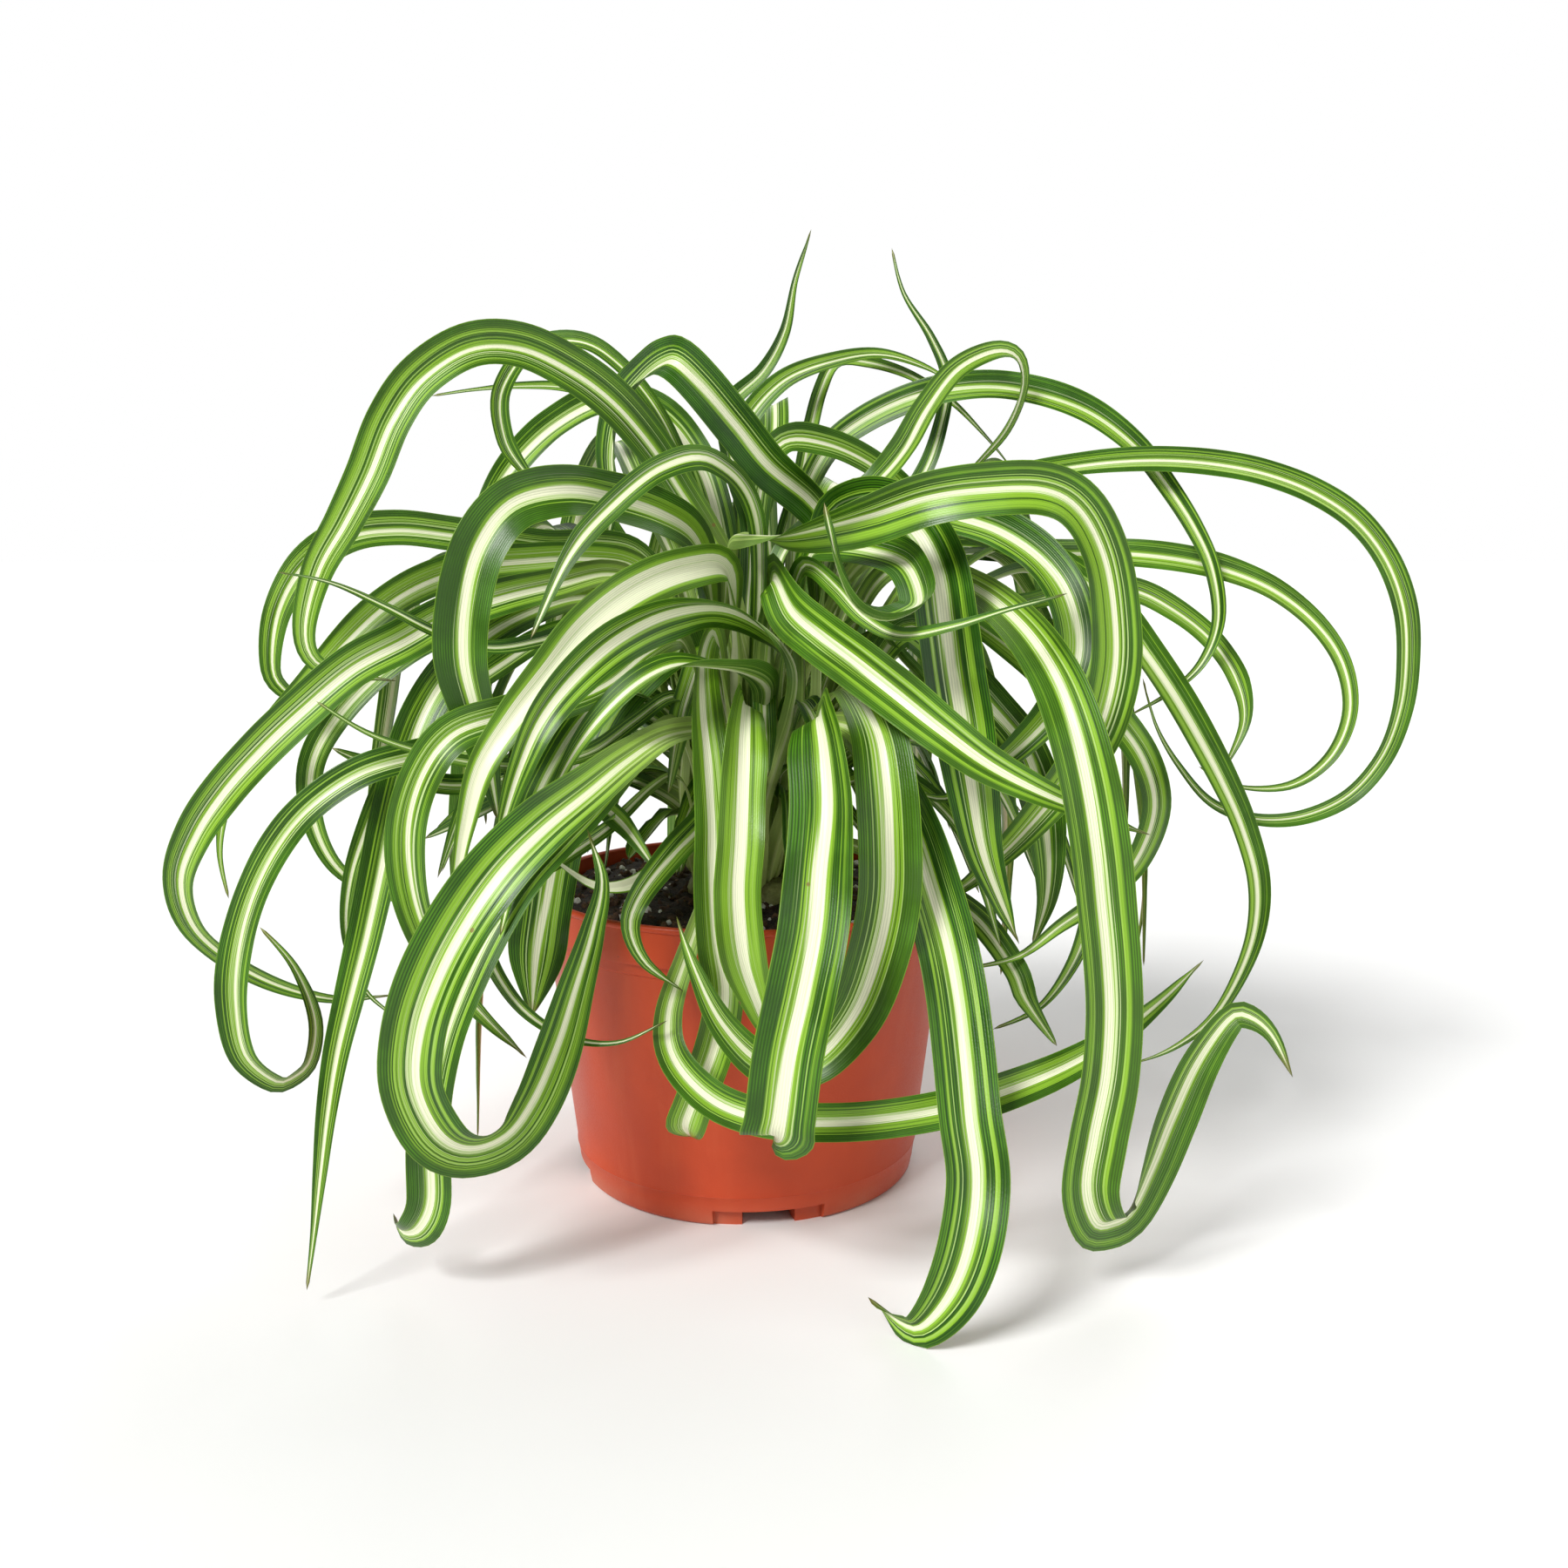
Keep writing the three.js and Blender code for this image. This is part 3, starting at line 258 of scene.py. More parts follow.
def blade_bands_group() -> bpy.types.NodeTree:
    """The lengthwise bands of a leaf: a cream middle, lime stripes, green margins and fine veins.

    Returns:
        The node group, with masks for the bands and a height for the veins.
    """
    outputs = {"Cream": FLOAT, "Lime": FLOAT, "Edge": FLOAT, "Veins": FLOAT, "Foot": FLOAT, "Tip": FLOAT}
    w, _, out = new_group("blade_bands", "ShaderNodeTree", {}, outputs)
    u, share, _ = w.parts(w.add("ShaderNodeUVMap", uv_map="UVMap").outputs[0])
    habit = w.add("ShaderNodeAttribute", attribute_name="habit")
    cream_width, pale, seed = w.parts(habit.outputs["Vector"])
    drift = w.noise(w.combined(0.0, w.math("MULTIPLY", share, 3.0), seed), 1.0, 1.0)
    middle = w.math("ADD", w.math("MULTIPLY", w.math("SUBTRACT", drift, 0.5), 0.3), 0.5)
    out_from_middle = w.math("MULTIPLY", w.math("ABSOLUTE", w.math("SUBTRACT", u, middle)), 2.0)

    def lines(count: float, change: float, detail: float) -> bpy.types.NodeSocket:
        """Lengthwise lines: how many fit in the width, and how soon they change along it."""
        place = w.combined(w.math("MULTIPLY", u, count), w.math("MULTIPLY", share, change), seed)
        return w.noise(place, 1.0, detail, 0.55)

    broad = lines(6.0, 0.8, 1.0)
    thin = lines(30.0, 1.1, 2.0)
    thin_part = w.math("SUBTRACT", thin, 0.5)
    ragged = w.math("ADD", out_from_middle, w.math("MULTIPLY", thin_part, 0.3))
    inner = w.math("SUBTRACT", cream_width, 0.03)
    outer = w.math("ADD", cream_width, 0.03)
    cream = w.ramp(ragged, inner, outer, 1.0, 0.0)
    thread = w.math("MULTIPLY", w.ramp(thin, 0.56, 0.62), w.ramp(out_from_middle, 0.2, 0.7, 0.75, 0.0))
    cream = w.math("MULTIPLY", cream, w.ramp(thin, 0.58, 0.66, 1.0, 0.55))
    w.feed(out.inputs["Cream"], w.math("MAXIMUM", cream, w.math("MULTIPLY", thread, 0.7), clamp=True))
    halo = w.ramp(ragged, outer, w.math("ADD", outer, 0.16), 0.8, 0.0)
    striped = w.math("ADD", broad, w.math("MULTIPLY", thin_part, 1.1))
    start = w.math("SUBTRACT", 0.52, w.math("MULTIPLY", pale, 0.25))
    lime_stripe = w.ramp(striped, start, w.math("ADD", start, 0.09))
    margin = w.ramp(out_from_middle, 0.62, 0.84, 0.9, 0.08)
    lime = w.math("MAXIMUM", halo, w.math("MULTIPLY", lime_stripe, margin))
    w.feed(out.inputs["Lime"], w.math("MAXIMUM", lime, w.math("MULTIPLY", pale, 0.4), clamp=True))
    side = w.math("MULTIPLY", w.math("ABSOLUTE", w.math("SUBTRACT", u, 0.5)), 2.0)
    w.feed(out.inputs["Edge"], w.ramp(side, 0.955, 0.99))
    wave = w.math("SINE", w.math("MULTIPLY", w.math("ADD", u, w.math("MULTIPLY", drift, 0.02)), 150.0))
    w.feed(out.inputs["Veins"], w.math("ADD", w.math("MULTIPLY", wave, 0.3), thin))
    w.feed(out.inputs["Foot"], w.ramp(share, 0.08, 0.42, 1.0, 0.0))
    w.feed(out.inputs["Tip"], w.ramp(share, 0.975, 0.995))
    return w.tree


class Effects:
    """The shared node groups, each built once."""

    def __init__(self) -> None:
        """Builds the groups."""
        self.mottle = mottle_group()
        self.specks = specks_group()
        self.bands = blade_bands_group()


# ---------------------------------------------------------------------------
# Finishes
# ---------------------------------------------------------------------------
class Surface:
    """A material being written: its tree, its shader and the shared effects."""

    def __init__(self, name: str, effects: Effects) -> None:
        """Args:
            name: the material's name.
            effects: the shared node groups.
        """
        self.material = bpy.data.materials.new(name)
        self.material.use_nodes = True
        self.w = NodeWriter(self.material.node_tree)
        self.w.tree.nodes.clear()
        self.shader = self.w.add("ShaderNodeBsdfPrincipled")
        out = self.w.add("ShaderNodeOutputMaterial")
        self.w.feed(out.inputs["Surface"], self.shader.outputs[0])
        self.effects = effects

    def group(self, tree: bpy.types.NodeTree, **values: float) -> bpy.types.Node:
        """Places a shared effect.

        Args:
            tree: the node group.
            values: its inputs, with spaces written as underscores.

        Returns:
            The group's node.
        """
        node = self.w.add("ShaderNodeGroup", node_tree=tree)
        for name, value in values.items():
            node.inputs[name.replace("_", " ")].default_value = value
        return node

    def finish(self, colour, roughness, height, strength: float, distance: float,
               **fixed: float) -> bpy.types.Material:
        """Feeds the shader and closes the material.

        Args:
            colour: the base colour's socket.
            roughness: the roughness's socket.
            height: the bump's height.
            strength: the bump's strength.
            distance: the bump's depth in metres.
            fixed: values set on the shader's own sockets.

        Returns:
            The material.
        """
        bump = self.w.add("ShaderNodeBump", {"Strength": strength, "Distance": distance, "Height": height})
        feeds = {"Base Color": colour, "Roughness": roughness, "Normal": bump.outputs[0]}
        for name, value in feeds.items():
            self.w.feed(self.shader.inputs[name], value)
        for name, value in fixed.items():
            self.shader.inputs[name.replace("_", " ")].default_value = value
        return self.material


@dataclass(frozen=True)
class LeafFinish:
    """One side of a leaf."""

    name: str
    green: Colour
    light_green: Colour
    lime: Colour
    cream: Colour
    foot: Colour = (0.56, 0.70, 0.20)
    brown: Colour = (0.21, 0.10, 0.035)
    gloss: tuple[float, float] = (0.3, 0.44)
    bump: float = 0.32

    def build(self, effects: Effects) -> bpy.types.Material:
        """Makes the material.

        Args:
            effects: the shared node groups.

        Returns:
            The material.
        """
        s = Surface(self.name, effects)
        w = s.w
        bands = s.group(effects.bands).outputs
        mottle = s.group(effects.mottle, Scale=55.0, Grain_Scale=1400.0).outputs
        specks = s.group(effects.specks, Scale=95.0, Size=0.09, Share=0.035).outputs
        tone = w.ramp(bands["Veins"], 0.2, 0.9)
        green = w.mixed(w.math("MULTIPLY", mottle["Tone"], tone), self.green, self.light_green)
        colour = w.mixed(bands["Lime"], green, self.lime)
        colour = w.mixed(w.math("MULTIPLY", bands["Edge"], 0.55), colour, self.lime)
        colour = w.mixed(bands["Cream"], colour, self.cream)
        darker = w.mixed(0.82, (0.0, 0.0, 0.0), colour)
        colour = w.mixed(w.ramp(bands["Veins"], 0.15, 0.6), darker, colour)
        colour = w.mixed(w.math("MULTIPLY", bands["Foot"], 0.85), colour, self.foot)
        spot = w.math("MAXIMUM", specks["Mask"], w.math("MULTIPLY", bands["Tip"], 0.6))
        colour = w.mixed(w.math("MULTIPLY", spot, 0.75), colour, self.brown)
        rough = w.ramp(mottle["Tone"], 0.0, 1.0, *self.gloss)
        height = w.math("ADD", bands["Veins"], w.math("MULTIPLY", mottle["Grain"], 0.25))
        return s.finish(colour, rough, height, self.bump, 0.25 * MM, Specular_IOR_Level=0.3,
                        Coat_Weight=0.12, Coat_Roughness=0.2)


@dataclass(frozen=True)
class PotFinish:
    """Satin terracotta-coloured plastic."""

    name: str = "terracotta_plastic"
    base: Colour = (0.58, 0.066, 0.015)
    worn: Colour = (0.64, 0.11, 0.035)
    dark: Colour = (0.49, 0.050, 0.011)
    dust: Colour = (0.50, 0.33, 0.22)
    dirt: Colour = (0.09, 0.055, 0.035)

    def build(self, effects: Effects) -> bpy.types.Material:
        """Makes the material.

        Args:
            effects: the shared node groups.

        Returns:
            The material.
        """
        s = Surface(self.name, effects)
        w = s.w
        mottle = s.group(effects.mottle, Scale=24.0, Grain_Scale=1600.0, Seed=3.0).outputs
        specks = s.group(effects.specks, Scale=150.0, Size=0.1, Share=0.014).outputs
        place = w.add("ShaderNodeTexCoord").outputs["Object"]
        height = w.parts(place)[2]
        colour = w.mixed(mottle["Tone"], self.dark, self.base)
        streak_place = w.vector_math("MULTIPLY", place, (1.0, 1.0, 0.12))
        streaks = w.noise(streak_place, 130.0, 3.0)
        colour = w.mixed(w.ramp(streaks, 0.5, 0.75, 0.0, 0.22), colour, self.worn)
        low = w.math("MULTIPLY", w.ramp(height, 0.0, 12 * MM, 0.28, 0.0), mottle["Tone"])
        colour = w.mixed(low, colour, self.dust)
        colour = w.mixed(w.math("MULTIPLY", specks["Mask"], 0.28), colour, self.dirt)
        grain = mottle["Grain"]
        rough = w.ramp(w.math("ADD", mottle["Tone"], grain), 0.2, 1.8, 0.36, 0.5)
        relief = w.math("ADD", grain, w.math("MULTIPLY", streaks, 0.5))
        return s.finish(colour, rough, relief, 0.16, 0.12 * MM, Specular_IOR_Level=0.34,
                        Coat_Weight=0.04, Coat_Roughness=0.3)


@dataclass(frozen=True)
class CrumbFinish:
    """An earthy, broken-up surface: potting mix, bark, perlite or the crown's skin."""

    name: str
    dark: Colour
    light: Colour
    fleck: Colour
    scale: float = 320.0
    fleck_share: float = 0.12
    depth: float = 0.6
    gloss: tuple[float, float] = (0.72, 0.95)

    def build(self, effects: Effects) -> bpy.types.Material:
        """Makes the material.

        Args:
            effects: the shared node groups.

        Returns:
            The material.
        """
        s = Surface(self.name, effects)
        w = s.w
        mottle = s.group(effects.mottle, Scale=self.scale, Grain_Scale=self.scale * 6).outputs
        specks = s.group(effects.specks, Scale=self.scale * 1.4, Size=0.3, Share=self.fleck_share).outputs
        colour = w.mixed(mottle["Tone"], self.dark, self.light)
        colour = w.mixed(w.math("MULTIPLY", mottle["Grain"], 0.35), colour, self.dark)
        colour = w.mixed(specks["Mask"], colour, self.fleck)
        rough = w.ramp(mottle["Grain"], 0.0, 1.0, *self.gloss)
        height = w.math("ADD", mottle["Tone"], w.math("MULTIPLY", mottle["Grain"], 0.5))
        return s.finish(colour, rough, height, 0.7, self.depth * MM)


@dataclass(frozen=True)
class FloorFinish:
    """A plain pale studio floor."""

    name: str = "studio_floor"
    colour: Colour = (0.91, 0.91, 0.90)

    def build(self, effects: Effects) -> bpy.types.Material:
        """Makes the material.

        Args:
            effects: the shared node groups.

        Returns:
            The material.
        """
        s = Surface(self.name, effects)
        w = s.w
        mottle = s.group(effects.mottle, Scale=3.0, Grain_Scale=500.0).outputs
        paler = tuple(min(1.0, part * 1.02) for part in self.colour)
        colour = w.mixed(mottle["Tone"], self.colour, paler)
        rough = w.ramp(mottle["Grain"], 0.0, 1.0, 0.6, 0.7)
        return s.finish(colour, rough, mottle["Grain"], 0.02, 0.05 * MM)


# ---------------------------------------------------------------------------
# Mesh helpers
# ---------------------------------------------------------------------------
def new_piece(name: str, verts, faces, material: bpy.types.Material) -> bpy.types.Object:
    """A mesh object at the origin with smooth faces.

    Args:
        name: the piece's name.
        verts: points in metres.
        faces: loops of point numbers.
        material: its finish.

    Returns:
        The linked object.
    """
    mesh = bpy.data.meshes.new(name)
    mesh.from_pydata([tuple(v) for v in verts], [], faces)
    mesh.materials.append(material)
    mesh.shade_smooth()
    piece = bpy.data.objects.new(name, mesh)
    bpy.context.scene.collection.objects.link(piece)
    return piece


def lathe(profile: list[tuple[float, float]], sides: int,
          radius_at=None) -> tuple[list[Point], list[list[int]]]:
    """A closed turned shape.

    Args:
        profile: radius and height from the axis at the bottom, outwards and up, back to the axis.
        sides: how many steps round.
        radius_at: changes a radius by its bearing and height, when given.

    Returns:
        Points and faces, facing outwards.
    """
    verts: list[Point] = []
    faces: list[list[int]] = []
    rings: list[list[int]] = []
    for radius, height in profile:
        if radius == 0:
            rings.append([len(verts)])
            verts.append((0.0, 0.0, height))
            continue
        rings.append(list(range(len(verts), len(verts) + sides)))
        for k in range(sides):
            bearing = 2 * math.pi * k / sides
            r = radius_at(radius, height, bearing) if radius_at else radius
            verts.append((r * math.cos(bearing), r * math.sin(bearing), height))
    for low, high in zip(rings, rings[1:]):
        for k in range(sides):
            m = (k + 1) % sides
            if len(low) == 1:
                faces.append([low[0], high[m], high[k]])
            elif len(high) == 1:
                faces.append([low[k], low[m], high[0]])
            else:
                faces.append([low[k], low[m], high[m], high[k]])
    return verts, faces


def freeze(pieces: list[bpy.types.Object]) -> None:
    """Turns each piece's modifiers into plain mesh.

    Args:
        pieces: objects whose modifiers are finished with.
    """
    graph = bpy.context.evaluated_depsgraph_get()
    meshes = [
        bpy.data.meshes.new_from_object(piece.evaluated_get(graph), preserve_all_data_layers=True,
                                        depsgraph=graph)
        for piece in pieces
    ]
    for piece, mesh in zip(pieces, meshes):
        piece.modifiers.clear()
        piece.data = mesh
        mesh.name = piece.name


def add_tree(piece: bpy.types.Object, tree: bpy.types.NodeTree, values: dict[str, float]) -> None:
    """Puts a geometry tree on a piece.

    Args:
        piece: the object.
        tree: the tree.
        values: its inputs by their names.
    """
    modifier = piece.modifiers.new(tree.name, "NODES")
    modifier.node_group = tree
    for item in tree.interface.items_tree:
        if item.item_type == "SOCKET" and item.in_out == "INPUT" and item.name in values:
            modifier[item.identifier] = values[item.name]


def settle(piece: bpy.types.Object, slot: Slot, *nodes: str) -> None:
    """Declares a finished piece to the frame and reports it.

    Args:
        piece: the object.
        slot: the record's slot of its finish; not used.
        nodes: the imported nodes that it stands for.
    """
    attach(piece, BODY)
    if nodes:
        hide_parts(*nodes)
    LOG.info("%s: %d faces, stands for %s", piece.name, len(piece.data.polygons), nodes or "nothing")


# ---------------------------------------------------------------------------
# Geometry trees
# ---------------------------------------------------------------------------
FLOOR_GAP = 0.3 * MM  # the lowest that any leaf comes
PLEAT_TURNS = 21.0  # radians of pleat from the midrib to an edge
PLEAT_HEIGHT = 0.045 * MM
SEAM_REACH = 0.004 * MM  # points closer than this are one
FULL_TURN = 6.28  # radians, about one turn


def blade_tree(upper: bpy.types.Material, under: bpy.types.Material) -> bpy.types.NodeTree:
    """The tree that spreads a leaf blade along a spine of points.

    Each spine point carries across, face, half, thick, fold, share and habit.

    Args:
        upper: the finish of the side that faces the light.
        under: the finish of the other side.

    Returns:
        The geometry tree.
    """
    inputs = {
        "Geometry": (SHAPE, None), "Columns": (WHOLE, 15), "Thickness": (FLOAT, 0.7 * MM),
        "Wave": (FLOAT, 0.1), "Wave Pitch": (FLOAT, 9.0), "Seed": (FLOAT, 0.0),
    }
    w, given, out = new_group("leaf_blade", "GeometryNodeTree", inputs, {"Geometry": SHAPE})
    spine = given["Geometry"]
    rows = w.add("GeometryNodeAttributeDomainSize", {"Geometry": spine}).outputs["Point Count"]
    grid = w.add("GeometryNodeMeshGrid", {"Vertices X": given["Columns"], "Vertices Y": rows}).outputs["Mesh"]
    index = w.add("GeometryNodeInputIndex").outputs[0]
    row = w.math("MODULO", index, rows)
    column = w.math("FLOOR", w.math("DIVIDE", w.math("ADD", index, 0.5), rows))
    step = w.math("DIVIDE", column, w.math("SUBTRACT", given["Columns"], 1.0))
    turn = w.math("MULTIPLY", w.math("SUBTRACT", step, 0.5), math.pi)
    u = w.math("SINE", turn)
    across_share = w.math("MULTIPLY_ADD", u, 0.5, 0.5)

    def sampled(name: str, kind: str = "FLOAT") -> bpy.types.NodeSocket:
        """The spine's named value at this row."""
        value = w.add("GeometryNodeInputNamedAttribute", {"Name": name}, data_type=kind).outputs["Attribute"]
        node = w.add("GeometryNodeSampleIndex", {"Geometry": spine}, data_type=kind, domain="POINT")
        w.feed(node.inputs["Value"], value)
        w.feed(node.inputs["Index"], row)
        return node.outputs["Value"]

    where = w.add("GeometryNodeSampleIndex", {"Geometry": spine}, data_type="FLOAT_VECTOR", domain="POINT")
    w.feed(where.inputs["Value"], w.add("GeometryNodeInputPosition").outputs[0])
    w.feed(where.inputs["Index"], row)
    half, thick, fold, share = (sampled(name) for name in ("half", "thick", "fold", "share"))
    across, face, habit = (sampled(name, "FLOAT_VECTOR") for name in ("across", "face", "habit"))

    out_from_middle = w.math("ABSOLUTE", u)
    trough = w.math("SUBTRACT", w.math("MULTIPLY", w.math("POWER", out_from_middle, 1.1), 2.0), 1.0)
    channel = w.math("MULTIPLY", w.math("MULTIPLY", trough, fold), half)
    side = w.math("SIGN", u)
    ripple_place = w.combined(w.math("MULTIPLY", share, given["Wave Pitch"]), w.math("MULTIPLY", side, 3.7),
                              given["Seed"])
    ripple = w.math("SUBTRACT", w.noise(ripple_place, 1.0, 1.0), 0.5)
    lift = w.math("MULTIPLY", w.math("MULTIPLY", ripple, w.math("POWER", out_from_middle, 2.0)),
                  w.math("MULTIPLY", half, given["Wave"]))
    pleat = w.math("MULTIPLY", w.math("SINE", w.math("MULTIPLY", u, PLEAT_TURNS)), PLEAT_HEIGHT)
    height = w.math("ADD", w.math("ADD", channel, lift), w.math("MULTIPLY", pleat, w.math("SIGN", thick)))
    round_edge = w.math("SQRT", w.math("MAXIMUM", w.math("SUBTRACT", 1.0, w.math("MULTIPLY", u, u)), 0.0))
    body = w.math("MULTIPLY", w.math("MULTIPLY", given["Thickness"], 0.5),
                  w.math("MULTIPLY", round_edge, thick))
    reach = w.scaled(across, w.math("MULTIPLY", half, u))

    def sheet(sign: float) -> bpy.types.NodeSocket:
        """One side of the blade: 1 for the upper sheet, -1 for the under one."""
        rise = w.scaled(face, w.math("ADD", height, w.math("MULTIPLY", body, sign)))
        place = w.vector_math("ADD", w.vector_math("ADD", where.outputs["Value"], reach), rise)
        place = w.vector_math("MAXIMUM", place, (-1.0, -1.0, FLOOR_GAP))
        moved = w.add("GeometryNodeSetPosition", {"Geometry": grid, "Position": place}).outputs[0]
        for name, kind, value in (("across_share", "FLOAT", across_share), ("run_share", "FLOAT", share),
                                  ("habit", "FLOAT_VECTOR", habit), ("under", "FLOAT", 0.5 - sign / 2)):
            store = w.add("GeometryNodeStoreNamedAttribute", {"Geometry": moved, "Name": name},
                          data_type=kind, domain="POINT")
            w.feed(store.inputs["Value"], value)
            moved = store.outputs[0]
        return moved

    flipped = w.add("GeometryNodeFlipFaces", {"Mesh": sheet(-1.0)}).outputs[0]
    both = w.add("GeometryNodeJoinGeometry")
    for part in (sheet(1.0), flipped):
        w.tree.links.new(part, both.inputs[0])
    reads = [
        w.add("GeometryNodeInputNamedAttribute", {"Name": name}, data_type="FLOAT").outputs["Attribute"]
        for name in ("across_share", "run_share", "under")
    ]
    mapped = w.add("GeometryNodeStoreNamedAttribute", {"Geometry": both.outputs[0], "Name": "UVMap"},
                   data_type="FLOAT2", domain="CORNER")
    w.feed(mapped.inputs["Value"], w.combined(reads[0], reads[1], 0.0))
    side_mark = w.add("GeometryNodeStoreNamedAttribute", {"Geometry": mapped.outputs[0], "Name": "side"},
                      data_type="FLOAT", domain="FACE")
    w.feed(side_mark.inputs["Value"], reads[2])
    merged = w.add("GeometryNodeMergeByDistance", {"Geometry": side_mark.outputs[0], "Distance": SEAM_REACH})
    smooth = w.add("GeometryNodeSetShadeSmooth", {"Geometry": merged.outputs[0]})
    real = w.add("GeometryNodeRealizeInstances", {"Geometry": smooth.outputs[0]})
    dressed = w.add("GeometryNodeSetMaterial", {"Geometry": real.outputs[0], "Material": upper})
    mark = w.add("GeometryNodeInputNamedAttribute", {"Name": "side"}, data_type="FLOAT").outputs["Attribute"]
    is_under = w.add("FunctionNodeCompare", {0: mark, 1: 0.5}, data_type="FLOAT", operation="GREATER_THAN")
    dressed = w.add("GeometryNodeSetMaterial", {"Geometry": dressed.outputs[0], "Material": under,
                                                "Selection": is_under.outputs[0]})
    w.feed(out.inputs["Geometry"], dressed.outputs[0])
    return w.tree


def scatter_tree(name: str, material: bpy.types.Material) -> bpy.types.NodeTree:
    """The tree that strews small broken grains over the top faces of a surface.

    Args:
        name: the tree's name.
        material: the grains' finish.

    Returns:
        The geometry tree.
    """
    inputs = {"Geometry": (SHAPE, None), "Per Area": (FLOAT, 20000.0), "Seed": (WHOLE, 1),
              "Smallest": (FLOAT, 0.6 * MM), "Largest": (FLOAT, 2.0 * MM), "Flatness": (FLOAT, 0.7),
              "Lowest": (FLOAT, 0.0)}
    w, given, out = new_group(name, "GeometryNodeTree", inputs, {"Geometry": SHAPE})
    height = w.parts(w.add("GeometryNodeInputPosition").outputs[0])[2]
    top = w.add("FunctionNodeCompare", {0: height, 1: given["Lowest"]}, data_type="FLOAT",
                operation="GREATER_THAN")
    surface = w.add("GeometryNodeSeparateGeometry",
                    {"Geometry": given["Geometry"], "Selection": top.outputs[0]}, domain="FACE")
    strewn = w.add("GeometryNodeDistributePointsOnFaces",
                   {"Mesh": surface.outputs["Selection"], "Density": given["Per Area"],
                    "Seed": given["Seed"]}, distribute_method="RANDOM")
    grain = w.add("GeometryNodeMeshIcoSphere", {"Radius": 1.0, "Subdivisions": 2}).outputs["Mesh"]
    place = w.add("GeometryNodeInputPosition").outputs[0]
    rough = w.scaled(place, w.math("ADD", 0.62, w.math("MULTIPLY", w.noise(place, 1.7, 1.0), 0.76)))
    grain = w.add("GeometryNodeSetPosition", {"Geometry": grain, "Position": rough}).outputs[0]
    turn = w.add("FunctionNodeRandomValue",
                 {0: (0.0, 0.0, 0.0), 1: (FULL_TURN, FULL_TURN, FULL_TURN), "Seed": given["Seed"]},
                 data_type="FLOAT_VECTOR")
    size = w.add("FunctionNodeRandomValue",
                 {2: given["Smallest"], 3: given["Largest"], "Seed": given["Seed"]}, data_type="FLOAT")
    long_way = w.combined(size.outputs[1], w.math("MULTIPLY", size.outputs[1], given["Flatness"]),
                          w.math("MULTIPLY", size.outputs[1], 0.75))
    copies = w.add("GeometryNodeInstanceOnPoints",
                   {"Points": strewn.outputs["Points"], "Instance": grain, "Scale": long_way,
                    "Rotation": turn.outputs[0]})
    real = w.add("GeometryNodeRealizeInstances", {"Geometry": copies.outputs[0]})
    dressed = w.add("GeometryNodeSetMaterial", {"Geometry": real.outputs[0], "Material": material})
    w.feed(out.inputs["Geometry"], dressed.outputs[0])
    return w.tree


# ---------------------------------------------------------------------------
# Leaves
# ---------------------------------------------------------------------------
def through(points: np.ndarray, at: np.ndarray) -> np.ndarray:
    """A smooth curve through rows of numbers.

    Args:
        points: one row for each whole step.
        at: where to read, in steps.

    Returns:
        One row for each reading.
    """
    last = len(points) - 1
    i = np.clip(np.floor(at).astype(int), 0, last - 1)
    t = (at - i)[:, None]
    before = points[np.maximum(i - 1, 0)]
    here, after = points[i], points[i + 1]
    beyond = points[np.minimum(i + 2, last)]
    return 0.5 * (2 * here + (after - before) * t + (2 * before - 5 * here + 4 * after - beyond) * t**2
                  + (3 * here - before - 3 * after + beyond) * t**3)


def unit(rows: np.ndarray) -> np.ndarray:
    """Rows scaled to length 1."""
    return rows / np.maximum(np.linalg.norm(rows, axis=1, keepdims=True), 1e-9)


FEWEST_STATIONS = 24
WIDTH_ALONG = ([0, 0.16, 0.5, 0.8, 1], [0.4, 0.5, 1.0, 0.85, 0.06])  # shares of the length and of the width


